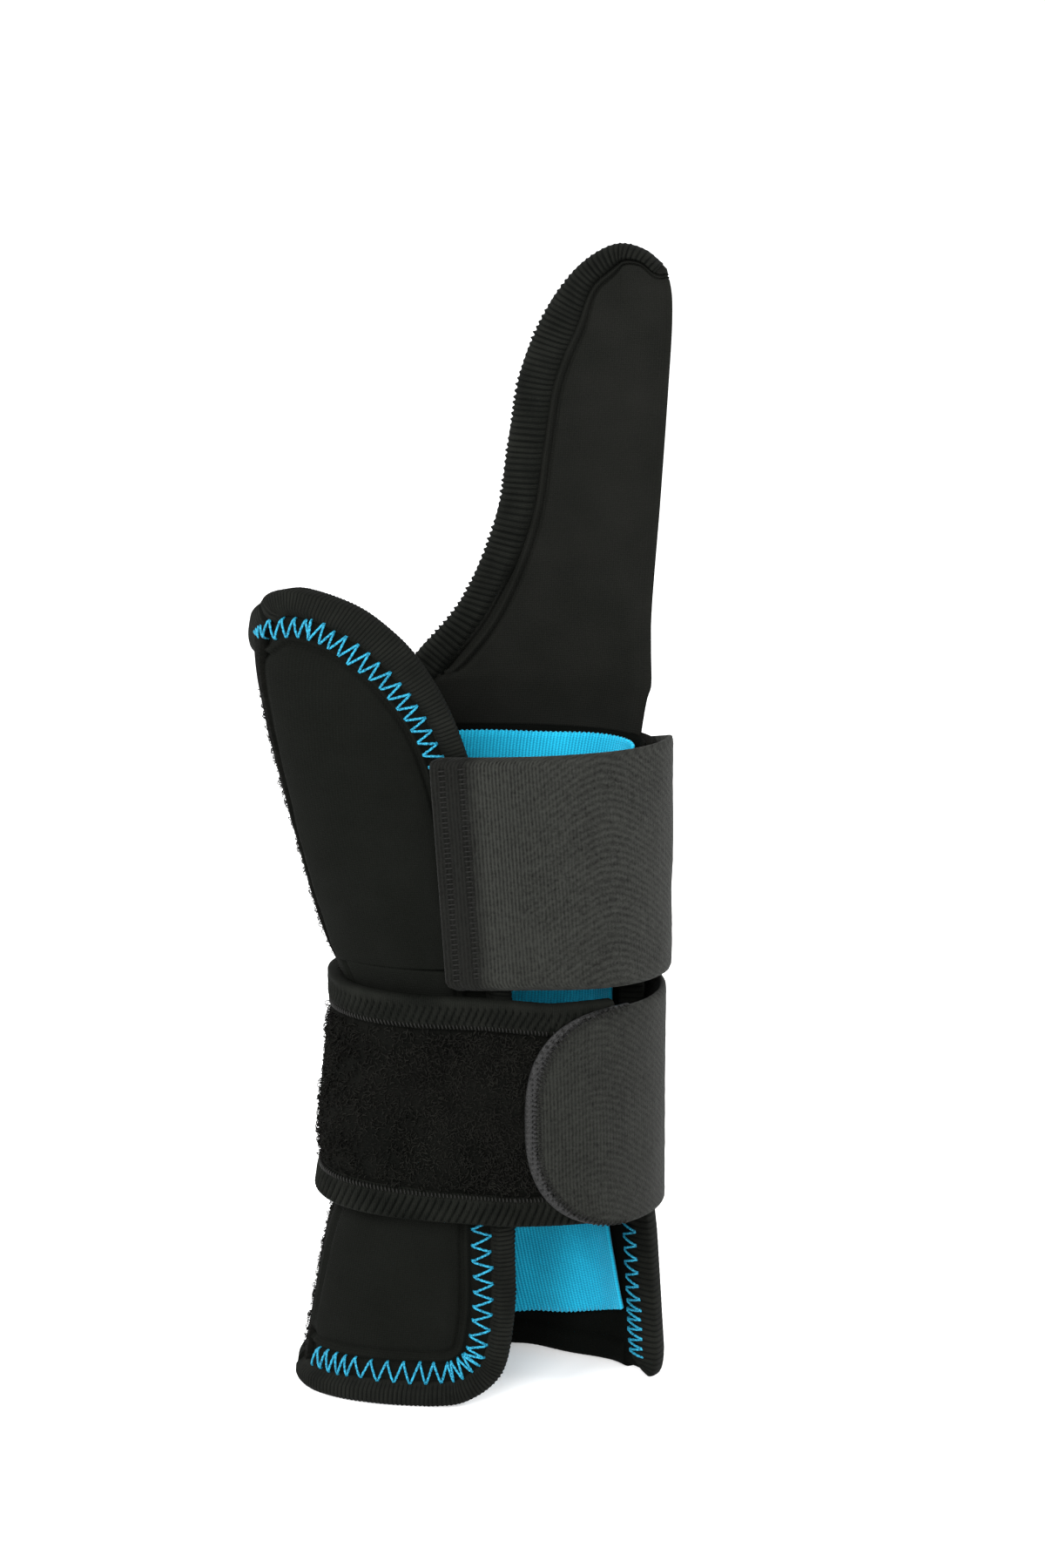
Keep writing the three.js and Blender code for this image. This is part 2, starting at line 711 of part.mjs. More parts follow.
function wristTabGroup() {
  const group = new THREE.Group();
  const webbing = laid(TAB_WEBBING, tabOffset);
  const { low, high } = WRIST_TAB;
  const place = tabPlace(low, high, TAB_END_X, () => TAB_HINGE);
  add(group, "wrist_tab_webbing", sheet(place, webbing, 10, 12), FINISH.webbing);
  const hookEnd = (height) => angleAt(TAB_END_X + 12, height);
  const hook = tabPlace(low + 0.8, high - 0.8, TAB_END_X - 1.6, hookEnd);
  add(group, "wrist_tab_hook", sheet(hook, laid(TAB_HOOK, tabOffset), 4, 12), FINISH.hook);
  return group;
}

function wristBandGroup() {
  const group = new THREE.Group();
  const { low, high } = WRIST_BAND;
  const place = bandPlace(low + EDGE_INSET, high - EDGE_INSET);
  add(group, "wrist_band_core", sheet(place, BAND_CORE, 14, 6), FINISH.neoprene);
  add(group, "wrist_band_loop", sheet(place, BAND_LOOP, 14, 6), FINISH.pile);
  const end = (height) => [angleAt(BAND_END_X, height), height];
  const hem = straight([BAND_HINGE, low], end(low));
  const top = straight(end(high), [BAND_HINGE, high]);
  add(group, "wrist_band_top_binding", binding(top, BAND_BINDING, 14, 2), FINISH.tape);
  add(group, "wrist_band_hem_binding", binding(hem, BAND_BINDING, 14, 2), FINISH.tape);
  return group;
}

// The ends of the straps that stay sewn to the back.
function anchorGroup() {
  const group = new THREE.Group();
  const fixed = (low, high, from, to) => (u, v) => [
    THREE.MathUtils.lerp(from, to, u),
    THREE.MathUtils.lerp(low, high, v),
  ];
  const hand = fixed(HAND_STRAP.low, HAND_STRAP.high, 0.3, 82);
  add(group, "hand_strap_anchor", sheet(hand, laid(HAND_WEBBING, handStrapOffset), 11, 4), FINISH.webbing);
  const tab = fixed(WRIST_TAB.low, WRIST_TAB.high, 0.3, 78);
  add(group, "wrist_tab_anchor", sheet(tab, laid(TAB_WEBBING, tabOffset), 10, 4), FINISH.webbing);
  const band = fixed(WRIST_BAND.low, WRIST_BAND.high, 96, 179.7);
  add(group, "wrist_band_anchor", sheet(band, [BAND_CORE[0], BAND_LOOP[1]], 10, 3), FINISH.pile);
  return group;
}

brace.add(
  wrapGroup(),
  tongueGroup(),
  wingGroup(),
  handStrapGroup(),
  wristTabGroup(),
  wristBandGroup(),
  anchorGroup(),
);

export default brace;
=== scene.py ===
# Wrist support brace, the visual model. It stands on its lower hem, +Z towards the fingertips, -Y towards the
# palm. The cloth is laid out in millimetres on an oval wall much like the CAD's, as angle and height, and built
# in metres. Angle 0 is the right side, 90 the back of the hand, 180 the left side, 270 the palm. An offset is
# a distance outwards from the inner face of the cloth.
import math

import bpy
import numpy as np
from mathutils.kdtree import KDTree
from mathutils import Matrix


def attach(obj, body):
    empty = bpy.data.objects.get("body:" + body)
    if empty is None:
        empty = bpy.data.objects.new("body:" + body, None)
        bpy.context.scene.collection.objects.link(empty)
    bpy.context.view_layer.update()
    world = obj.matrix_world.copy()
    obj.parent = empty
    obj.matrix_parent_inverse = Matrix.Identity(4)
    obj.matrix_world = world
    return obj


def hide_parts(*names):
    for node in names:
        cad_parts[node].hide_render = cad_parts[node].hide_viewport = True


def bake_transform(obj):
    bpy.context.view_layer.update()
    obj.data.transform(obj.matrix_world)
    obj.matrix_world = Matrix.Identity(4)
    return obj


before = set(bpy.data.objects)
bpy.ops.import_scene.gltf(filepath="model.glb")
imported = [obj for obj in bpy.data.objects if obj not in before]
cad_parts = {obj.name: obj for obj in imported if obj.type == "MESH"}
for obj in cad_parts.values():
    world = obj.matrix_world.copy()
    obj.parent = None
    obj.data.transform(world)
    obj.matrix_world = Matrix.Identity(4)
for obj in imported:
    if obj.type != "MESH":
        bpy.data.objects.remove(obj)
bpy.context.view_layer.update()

MM = 0.001
ORIGIN = np.array([-0.12, -0.25, 0.0])  # where the frame's origin lies in the pattern's coordinates

# The wall's inner face by height: height, left x, right x, half depth, backward shift.
GIRTH = np.array([
    [0, -33.8, 38.6, 21.3, -1.6], [20, -30.3, 37.2, 20.3, -0.6], [35, -27.4, 36.2, 19.4, 0],
    [48, -24.2, 35.8, 18.7, 0], [64, -23.7, 35.6, 18.4, 0], [90, -22.6, 35.4, 18.4, 0],
    [102, -27.4, 35.6, 18.8, 0], [114, -31.0, 36.0, 19.4, 0], [136, -36.8, 37.8, 20.2, 0],
    [152, -40.4, 40.2, 20.4, 0], [166, -42.6, 44.2, 20.4, 0.3], [182, -41.4, 51.2, 20.4, 0.8],
    [253, -46.0, 66.0, 20.4, 4.5],
], float)
ROUNDNESS = 2.5
COVER = 3.6  # offset of the cloth's outer face from the inner one
SEAM = 190.0  # angle of the left seam
SEAM_GAP = 0.5
EDGE_INSET = 1.5  # from a hem tape's outer edge to the raw edge inside it
CLOTH_DEGREE = 0.56  # width of a degree of wall, where cloth is laid flat

# ---- Numbers ----


def lerp(a, b, t):
    return a + (b - a) * t


def smooth(low, high, value):
    t = np.clip((value - low) / (high - low), 0, 1)
    return t**3 * (t * (6 * t - 15) + 10)


def bump(value, middle, width):
    return np.exp(-(((value - middle) / width) ** 2))


def wobble(x, step, seed, y=None):
    """Smooth noise from -1 to 1 along x, or over x and y, with features about one step wide."""
    table = np.random.default_rng(seed).uniform(-1, 1, (128, 128))
    x = np.asarray(x, float) / step
    y = np.zeros_like(x) if y is None else np.asarray(y, float) / step
    i, j = np.floor(x).astype(int), np.floor(y).astype(int)
    f, g = x - i, y - j
    f, g = f * f * (3 - 2 * f), g * g * (3 - 2 * g)
    low = lerp(table[i % 128, j % 128], table[(i + 1) % 128, j % 128], f)
    high = lerp(table[i % 128, (j + 1) % 128], table[(i + 1) % 128, (j + 1) % 128], f)
    return lerp(low, high, g)


def unit(v):
    return v / np.maximum(np.linalg.norm(v, axis=-1, keepdims=True), 1e-12)


# ---- The wall's surface ----


def between(stations, column, height):
    """A smooth value between stations, through every one of them."""
    s, v = stations[:, 0], stations[:, column]
    last = len(s) - 1
    z = np.clip(np.asarray(height, float), s[0], s[last])
    i = np.clip(np.searchsorted(s, z, "left") - 1, 0, last - 1)
    k = np.arange(last + 1)
    low, high = np.maximum(k - 1, 0), np.minimum(k + 1, last)
    slope = (v[high] - v[low]) / (s[high] - s[low])
    span = s[i + 1] - s[i]
    t = (z - s[i]) / span
    return (v[i] * (2 * t**3 - 3 * t**2 + 1) + slope[i] * span * (t**3 - 2 * t**2 + t)
            + v[i + 1] * (3 * t**2 - 2 * t**3) + slope[i + 1] * span * (t**3 - t**2))


def middle_and_half(height):
    left, right = between(GIRTH, 1, height), between(GIRTH, 2, height)
    return (left + right) / 2, (right - left) / 2


def wall(angle, height, offset=0.0):
    """Points on the wall, moved outwards by the offset."""
    angle, height, offset = np.broadcast_arrays(np.asarray(angle, float), height, offset)
    x, a = middle_and_half(height)
    y, b = between(GIRTH, 4, height), between(GIRTH, 3, height)
    c, s = np.cos(np.radians(angle)), np.sin(np.radians(angle))
    r = (np.abs(c / a) ** ROUNDNESS + np.abs(s / b) ** ROUNDNESS) ** (-1 / ROUNDNESS)
    nx = np.sign(c) * np.abs(r * c / a) ** (ROUNDNESS - 1) / a
    ny = np.sign(s) * np.abs(r * s / b) ** (ROUNDNESS - 1) / b
    n = np.hypot(nx, ny)
    return np.stack([x + r * c + nx / n * offset, y + r * s + ny / n * offset, height], -1)


def degree_length(angle, height):
    return np.linalg.norm(wall(angle - 0.5, height) - wall(angle + 0.5, height), axis=-1)


def angle_at(x, height, side="palm", offset=COVER):
    """The angle at which the wall has this x, on the palm side or on the back."""
    x, height = np.broadcast_arrays(np.asarray(x, float), height)
    low = np.full(x.shape, 180.0)
    high = np.full(x.shape, 360.0 if side == "palm" else 0.0)
    for _ in range(40):
        middle = (low + high) / 2
        left = wall(middle, height, offset)[..., 0] < x
        low, high = np.where(left, middle, low), np.where(left, high, middle)
    return (low + high) / 2


# ---- Lines on the wall ----


def spline(points, steps=60):
    """A centripetal curve through the points."""
    p = np.array(points, float)
    p = np.vstack([2 * p[0] - p[1], p, 2 * p[-1] - p[-2]])
    t = np.linspace(0, 1, steps, endpoint=False)[:, None]
    parts = []
    for a, b, c, d in zip(p, p[1:], p[2:], p[3:]):
        e, f, g = (np.linalg.norm(q) ** 0.5 for q in (b - a, c - b, d - c))
        start = ((b - a) / e - (c - a) / (e + f) + (c - b) / f) * f
        end = ((c - b) / f - (d - b) / (f + g) + (d - c) / g) * f
        square, cube = 3 * (c - b) - 2 * start - end, 2 * (b - c) + start + end
        parts.append(b + start * t + square * t**2 + cube * t**3)
    return np.vstack([*parts, p[-2:-1]])


class Line:
    """A line on the wall, as rows of [angle, height]. side is 1 where the cloth lies to its left."""

    def __init__(self, rows, side=1):
        self.rows, self.side = np.array(rows, float), side
        self.t = np.linspace(0, 1, len(self.rows))
        self.points = wall(self.rows[:, 0], self.rows[:, 1], COVER)
        steps = np.linalg.norm(np.diff(self.points, axis=0), axis=1)
        self.length = np.concatenate([[0], np.cumsum(steps)])
        slope = np.gradient(self.rows, axis=0)
        slope[:, 0] *= degree_length(self.rows[:, 0], self.rows[:, 1])
        self.along = unit(slope)

    def at(self, t, inwards=0.0):
        """Angle and height at a share of the line, moved into the cloth by a distance."""
        angle, height = (np.interp(t, self.t, self.rows[:, k]) for k in (0, 1))
        ax, az = (np.interp(t, self.t, self.along[:, k]) for k in (0, 1))
        scale = degree_length(angle, height)
        return angle - az * self.side * inwards / scale, height + ax * self.side * inwards

    def metres_at(self, t):
        return np.interp(t, self.t, self.length)

    def part(self, start, end, count):
        """Shares of the line, evenly spaced in length."""
        a, b = self.metres_at(start), self.metres_at(end)
        return np.interp(np.linspace(a, b, count), self.length, self.t)


def drawn(points, where, side, count=1200):
    """A line through points given as seen from the palm: x and height."""
    p = spline(points)
    length = np.concatenate([[0], np.cumsum(np.linalg.norm(np.diff(p, axis=0), axis=1))])
    s = np.linspace(0, length[-1], count)
    x, z = np.interp(s, length, p[:, 0]), np.maximum(np.interp(s, length, p[:, 1]), 0)
    return Line(np.stack([angle_at(x, z, where), z], 1), side)


def straight(start, end, side=1, count=400):
    t = np.linspace(0, 1, count)[:, None]
    return Line(np.array(start, float) * (1 - t) + np.array(end, float) * t, side)


SEAM_TOP = 178.2  # height of the wing's top edge at the left seam
SEAM_TURN = 188.3  # angle where the back's top tape meets the wing's
wing_edge = drawn([[float(wall(188.5, SEAM_TOP, COVER)[0]), SEAM_TOP], [-42.3, 180.5], [-39.8, 181.8],
                   [-36.4, 182.3], [-29.5, 181.2], [-21.8, 178.3], [-14.1, 172.9], [-8.4, 166.2],
                   [-3.6, 158.3], [0.4, 148.5], [4.6, 133], [8, 115], [10, 99.2]], "palm", -1)
WING_CORNER = 0.45  # share of the line that is the wing's top, and not its right side
cuff_edge = drawn([[10.2, 98], [11, 80], [11.2, 40], [11, 19], [8, 7], [0.5, 1.2], [-8, 0], [-20, 0],
                   [-31, 0], [float(wall(184.0, 0.0, COVER)[0]), 0]], "palm", -1)
CUFF_CORNER = 0.655  # share of the line that is the cuff's right side, and not its lower edge
tongue_edge = drawn([[-15.5, 155.4], [-10.4, 161.4], [-0.9, 173], [6.9, 192], [9.8, 210], [12.3, 224],
                     [18.1, 237.8], [26.3, 248.1], [34.2, 252.2], [40, 250.9], [44, 247.8]], "back", 1)
TONGUE_CORNER = 0.9
tongue_fold = drawn([[42.2, 155.2], [41.9, 172], [43.4, 196], [44.9, 220], [45.7, 236], [45.5, 242],
                     [44.4, 247.0]], "back", 1)

BACK_HIGH = 152.8
BACK_DIP = 8.0  # the back's top edge is lower at its right end, under the hand strap
RIGHT_TAPE_TOP = 138.0
RIGHT_EDGE = np.array([[0, 0.5], [1.2, -0.8], [3.5, -1.6], [9, -2], [20, -4], [35, -5], [60, -6], [90, -4],
                       [118, -2], [RIGHT_TAPE_TOP, -2], [BACK_HIGH, -2]], float)
heights = np.linspace(RIGHT_TAPE_TOP, 0, 800)
right_edge = Line(np.stack([between(RIGHT_EDGE, 1, heights), heights], 1), 1)
TONGUE_LEFT = float(angle_at(-15.5, BACK_HIGH, "back")) + 1.5
BACK_TOP = np.array([[TONGUE_LEFT, BACK_HIGH + EDGE_INSET], [132, 155], [150, 158.6], [170, 167.5],
                     [180, 173.8], [SEAM_TURN, SEAM_TOP - 0.1]])
angles = np.linspace(TONGUE_LEFT + 0.5, SEAM_TURN, 500)
back_top = Line(np.stack([angles, between(BACK_TOP, 1, angles)], 1), -1)

# The wing's zigzag runs level to the left side, where the hem already turns down.
past = int(np.argmax(wing_edge.rows[:, 0] > 203))
level_start = spline([[180.5, 179.5], [186, 179.8], [192, 180.4], [198, 181.3], wing_edge.rows[past]])
wing_wrap = Line(np.vstack([level_start, wing_edge.rows[past + 1:]]), -1)
back_hem = straight([16, 0], [184.5, 0], 1)


def distance_to(line, points):
    """Distances of points from a line on the wall, and the share of the line that each is next to."""
    tree = KDTree(len(line.points))
    for i, p in enumerate(line.points):
        tree.insert(p, i)
    tree.balance()
    flat = points.reshape(-1, 3)
    found = [tree.find(p)[1:] for p in flat]
    near, far = (np.array([f[k] for f in found]).reshape(points.shape[:-1]) for k in (0, 1))
    return far, line.t[near]


def filled(low, high, right, left, columns, rows):
    """Angles and heights inside four border lines. low and high run the same way, right and left run up."""
    u, v = np.meshgrid(np.linspace(0, 1, columns + 1), np.linspace(0, 1, rows + 1))
    out = []
    for k in (0, 1):
        corners = [np.asarray(f(np.array([e])))[k][0] for f in (low, high) for e in (0.0, 1.0)]
        flat = lerp(lerp(corners[0], corners[1], u), lerp(corners[2], corners[3], u), v)
        out.append(lerp(low(u)[k], high(u)[k], v) + lerp(right(v)[k], left(v)[k], u) - flat)
    return out


FLARE_FROM = 25.0  # angle where the back panel leaves the oval, low down at its right side
FLARE_TOP, FLARE_FULL = 66.0, 46.0  # heights between which the flare grows
FLARE_END = np.array([[0, 43.4], [6, 43.6], [20, 42.7], [33, 41.9], [42, 41.0], [50, 40.4], [70, 39.2]])
FLARE_WAY = np.array([0.94, -0.34])  # direction of the flared cloth at its free edge
FORWARD = 5.5  # at the right, the lower edge sits this much further forward than the oval


def back_wall(angle, height, offset=0.0):
    """The wall of the back panel. Its free edge flares out at the lower right, and shows its inner face."""
    plain = wall(angle, height, offset)
    angle, height, offset = np.broadcast_arrays(np.asarray(angle, float), height, offset)
    pull = np.zeros(plain.shape)
    pull[..., 1] = FORWARD * smooth(62, 0, height) * smooth(66, 34, angle)
    flared = (angle < FLARE_FROM) & (height < FLARE_TOP)
    if not flared.any():
        return plain - pull
    a, h, o = angle[flared], height[flared], offset[flared]
    t = (FLARE_FROM - a) / (FLARE_FROM - between(RIGHT_EDGE, 1, np.maximum(h, 4)))
    start = wall(FLARE_FROM, h)[:, :2]
    ahead = unit(wall(FLARE_FROM - 1, h)[:, :2] - start)
    end = np.stack([np.interp(h, FLARE_END[:, 0], FLARE_END[:, 1]), 0.5 + 0 * h], 1)
    first, second = start + ahead * 5.0, end - FLARE_WAY * 6.5
    t = t[:, None]
    middle = start * (1 - t) ** 3 + 3 * first * t * (1 - t) ** 2 + 3 * second * t**2 * (1 - t) + end * t**3
    way = unit((first - start) * (1 - t) ** 2 + 2 * (second - first) * t * (1 - t) + (end - second) * t**2)
    middle = middle + np.stack([-way[:, 1], way[:, 0]], 1) * o[:, None]
    amount = smooth(FLARE_TOP, FLARE_FULL, h)[:, None]
    plain[flared, :2] = lerp(plain[flared, :2], middle, amount)
    return plain - pull


# ---- Meshes ----


def add_mesh(name, points, faces, material, flat=None):
    """A piece from points in millimetres and arrays of faces, turned so that they look outwards."""
    points = (np.asarray(points, float) - ORIGIN) * MM
    volume = 0.0
    for f in faces:
        for k in range(1, f.shape[1] - 1):
            a, b, c = points[f[:, 0]], points[f[:, k]], points[f[:, k + 1]]
            volume += np.einsum("ij,ij->i", a, np.cross(b, c)).sum()
    if volume < 0:
        faces = [f[:, ::-1] for f in faces]
    mesh = bpy.data.meshes.new(name)
    loops = np.concatenate([f.ravel() for f in faces])
    sizes = np.concatenate([np.full(len(f), f.shape[1]) for f in faces])
    mesh.vertices.add(len(points))
    mesh.vertices.foreach_set("co", points.astype(np.float32).ravel())
    mesh.loops.add(len(loops))
    mesh.loops.foreach_set("vertex_index", loops.astype(np.int32))
    mesh.polygons.add(len(sizes))
    mesh.polygons.foreach_set("loop_start", (np.cumsum(sizes) - sizes).astype(np.int32))
    mesh.update(calc_edges=True)
    mesh.polygons.foreach_set("use_smooth", np.ones(len(sizes), bool))
    if flat is None:
        flat = points / MM
    mesh.attributes.new("flat", "FLOAT_VECTOR", "POINT").data.foreach_set(
        "vector", np.asarray(flat, np.float32).ravel())
    mesh.materials.append(material)
    obj = bpy.data.objects.new(name, mesh)
    bpy.context.scene.collection.objects.link(obj)
    return obj


def grid_faces(index, closed=False):
    """Quads between the rows of an index grid. closed joins the last column to the first."""
    if closed:
        index = np.concatenate([index, index[:, :1]], 1)
    return np.stack([index[:-1, :-1], index[:-1, 1:], index[1:, 1:], index[1:, :-1]], -1).reshape(-1, 4)


def border(grid):
    return np.concatenate([grid[0, :-1], grid[:-1, -1], grid[-1, :0:-1], grid[:0:-1, 0]])


def shell(name, inner, outer, material, flat, roll=0.35):
    """A closed sheet between two grids of points, with a rolled edge. flat is its place in the cloth."""
    rows, columns = inner.shape[:2]
    count = rows * columns
    index = np.arange(count).reshape(rows, columns)
    rim = border(index)
    near = border(np.clip(np.arange(rows), 1, rows - 2)[:, None] * columns
                  + np.clip(np.arange(columns), 1, columns - 2)[None, :])
    both = np.concatenate([inner.reshape(-1, 3), outer.reshape(-1, 3)])
    middle = (both[rim] + both[rim + count]) / 2
    middle = middle + unit(middle - (both[near] + both[near + count]) / 2) * roll
    ring = 2 * count + np.arange(len(rim))
    bands = []
    for a, b in ((rim, ring), (ring, rim + count)):
        bands.append(np.stack([a, np.roll(a, -1), np.roll(b, -1), b], -1))
    place = np.stack([*flat, np.zeros_like(flat[0])], -1).reshape(-1, 3)
    places = np.concatenate([place, place + [0, 0, 1], place[rim] + [0, 0, 0.5]])
    faces = [np.concatenate([grid_faces(index)[:, ::-1], grid_faces(index + count), *bands])]
    return add_mesh(name, np.concatenate([both, middle]), faces, material, places)


def tube(paths, radius, sides, across, twist=0.0):
    """Closed tubes along many paths of the same length: points (n, m, 3), radius (m,) or (n, m)."""
    n, m = paths.shape[:2]
    tangent = unit(np.gradient(paths, axis=1))
    one = unit(np.cross(tangent, across))
    two = np.cross(tangent, one)
    turn = np.arange(sides) * 2 * np.pi / sides
    r = np.broadcast_to(radius, (n, m))[..., None]
    if twist:
        steps = np.linalg.norm(np.diff(paths, axis=1), axis=2)
        run = np.concatenate([np.zeros((n, 1)), np.cumsum(steps, 1)], 1)[..., None]
        r = r * (1 + 0.2 * np.cos(2 * turn - 2 * np.pi * run / twist))
    points = (paths[:, :, None] + one[:, :, None] * (r * np.cos(turn))[..., None]
              + two[:, :, None] * (r * np.sin(turn))[..., None])
    index = np.arange(n * m * sides).reshape(n, m, sides)
    wrapped = np.concatenate([index, index[..., :1]], 2)
    quads = np.stack([wrapped[:, :-1, :-1], wrapped[:, :-1, 1:], wrapped[:, 1:, 1:], wrapped[:, 1:, :-1]], -1)
    caps = np.concatenate([index[:, 0, ::-1], index[:, -1]])
    return points.reshape(-1, 3), [quads.reshape(-1, 4), caps]


def tape_section(width, inner, outer, nose=2.4):
    """The closed outline of a folded hem tape over its padding: distance from the edge, and offset."""
    middle, half = (inner + outer) / 2, (outer - inner) / 2
    w = np.linspace(width, nose, 7)[:-1]
    crown = 0.12 * np.sin(np.pi * (w - nose) / (width - nose))
    top = half * (1 - 0.5 * smooth(width - 2.4, width, w)) + crown
    theta = np.radians(np.linspace(90, -90, 11))
    round_w = nose - nose * np.cos(theta) ** 0.85
    round_o = half * np.sign(np.sin(theta)) * np.abs(np.sin(theta)) ** 0.85
    return (np.concatenate([w, round_w, w[::-1]]), middle + np.concatenate([top, round_o, -top[::-1]]))


def tape(name, line, start, end, width, inner, outer, material, pitch, depth, seed, lift=None, slant=0.0,
         zone=None, nose=2.4, uneven=0.5, groove=None, narrow=None, on=wall, face=1):
    """A folded tape round an edge, gathered into ribs across it.

    zone limits the ribs to a range of distances from the edge. groove is a line pressed into one side, which
    face picks. narrow scales the width along the line.
    """
    length = line.metres_at(end) - line.metres_at(start)
    t = line.part(start, end, max(int(length / pitch * 6), 12))
    run = line.metres_at(t)[:, None]
    w, offset = tape_section(width, inner, outer, nose)
    nw, no = -(np.roll(offset, -1) - np.roll(offset, 1)), np.roll(w, -1) - np.roll(w, 1)
    scale = np.hypot(nw, no)
    nw, no = nw / scale, no / scale
    phase = (run + slant * w) / pitch + 0.22 * uneven * wobble(run, 2.6 * pitch, seed)
    ridge = np.abs(np.sin(np.pi * phase)) ** 0.7 - 0.62
    amount = depth * (1 + uneven * wobble(run + 0.3 * w, 3.3 * pitch, seed + 1, w * np.ones_like(run)))
    fade = smooth(width + 0.2, width - 1.0, w)
    if zone is not None:
        fade = smooth(zone[0] - 0.5, zone[0] + 0.3, w) * smooth(zone[1] + 0.4, zone[1] - 0.3, w)
    shift = ridge * amount * fade + 0.10 * wobble(run, 9, seed + 2)
    if groove:
        middle, spread, deep = groove
        shift = shift - deep * bump(w, middle, spread) * ((offset - (inner + outer) / 2) * face > 0)
    share = t[:, None] * np.ones_like(w)
    inwards = w + shift * nw
    if narrow is not None:
        inwards = inwards * narrow(share)
    angle, height = line.at(share, inwards)
    amount = offset + shift * no * -1
    if lift is not None:
        amount = amount + lift(angle, height)
    points = on(angle, np.maximum(height, 0), amount)
    index = np.arange(points.shape[0] * points.shape[1]).reshape(points.shape[:2])
    # rib_shade is 1 on the ribs' crests and lower in their valleys. The tape's finish paints shade in the
    # valleys from it.
    rib_shade = 1 + (np.abs(np.sin(np.pi * phase)) - 1) * fade
    flat = np.stack([run * np.ones_like(w), w * np.ones_like(run), rib_shade], -1)
    faces = [grid_faces(index, closed=True), np.stack([index[0, ::-1], index[-1]])]
    return add_mesh(name, points.reshape(-1, 3), faces, material, flat.reshape(-1, 3))


def threads(name, angle, height, offset, radius, sides, material, on=wall, twist=0.0):
    """Threads that lie on the wall, one for each row of angles and heights."""
    paths = on(angle, height, offset)
    across = unit(on(angle, height, offset + 1) - paths)
    points, faces = tube(paths, radius, sides, across, twist)
    return add_mesh(name, points, faces, material)


ZIGZAG_RADIUS = 0.27


def zigzag(name, line, start, end, near, far, turns, offset, seed, crowd, narrow=None, on=wall, face=1):
    """A zigzag of twisted thread that goes into the cloth at each of its tips."""
    rng = np.random.default_rng(seed)
    t = lerp(start, end, crowd(np.linspace(0, 1, turns * 2 + 1)))
    reach = np.where(np.arange(len(t)) % 2 == 1, far, near) + rng.normal(0, 0.12, len(t))
    if narrow is not None:
        reach = reach * narrow(t)
    angle, height = line.at(t, reach)
    angle = angle + rng.normal(0, 0.12, len(t))
    f = np.linspace(-0.02, 1.02, 11)
    a = lerp(angle[:-1, None], angle[1:, None], f)
    h = np.maximum(lerp(height[:-1, None], height[1:, None], f), ZIGZAG_RADIUS)
    rise = 0.30 * np.sin(np.pi * np.clip(f, 0, 1)) - 1.1 * np.abs(2 * f - 1) ** 9
    o = offset + rise * face + np.zeros_like(a)
    thick = ZIGZAG_RADIUS * (1 - 0.18 * np.abs(2 * f - 1) ** 4)
    return threads(name, a, h, o, thick, 8, blue_thread, on, twist=1.3)


def pile(name, angle, height, offset, size, material, seed, thick=0.085, on=wall):
    """Curly loops of pile that stand on the wall."""
    rng = np.random.default_rng(seed)
    n = len(angle)
    base = on(angle, height, offset)
    out = unit(on(angle, height, offset + 1.0) - base)
    side = unit(np.cross(out, [0.0, 0.0, 1.0]))
    up = np.cross(side, out)
    turn = rng.uniform(0, 2 * np.pi, n)[:, None]
    lean, swirl = np.cos(turn) * side + np.sin(turn) * up, np.cos(turn) * up - np.sin(turn) * side
    r = (size * rng.uniform(0.65, 1.35, n))[:, None, None]
    tall = rng.uniform(0.7, 1.5, n)[:, None, None]
    bend = rng.uniform(-0.8, 0.8, n)[:, None, None]
    phi = np.linspace(-0.25, np.pi + 0.1, 6)[None, :, None]
    paths = (base[:, None] + lean[:, None] * r * (1 - np.cos(phi)) + out[:, None] * r * tall * np.sin(phi)
             + swirl[:, None] * r * bend * np.sin(phi) ** 2)
    thick = thick * rng.uniform(0.7, 1.3, (n, 1))
    points, faces = tube(paths, thick, 3, np.broadcast_to(swirl[:, None], paths.shape))
    return add_mesh(name, points, faces, material)


# ---- Finishes ----


def tint(red, green, blue):
    """A colour from the usual 0 to 255 numbers."""
    def linear(c):
        return c / 255 / 12.92 if c <= 10.3 else ((c / 255 + 0.055) / 1.055) ** 2.4
    return linear(red), linear(green), linear(blue), 1.0


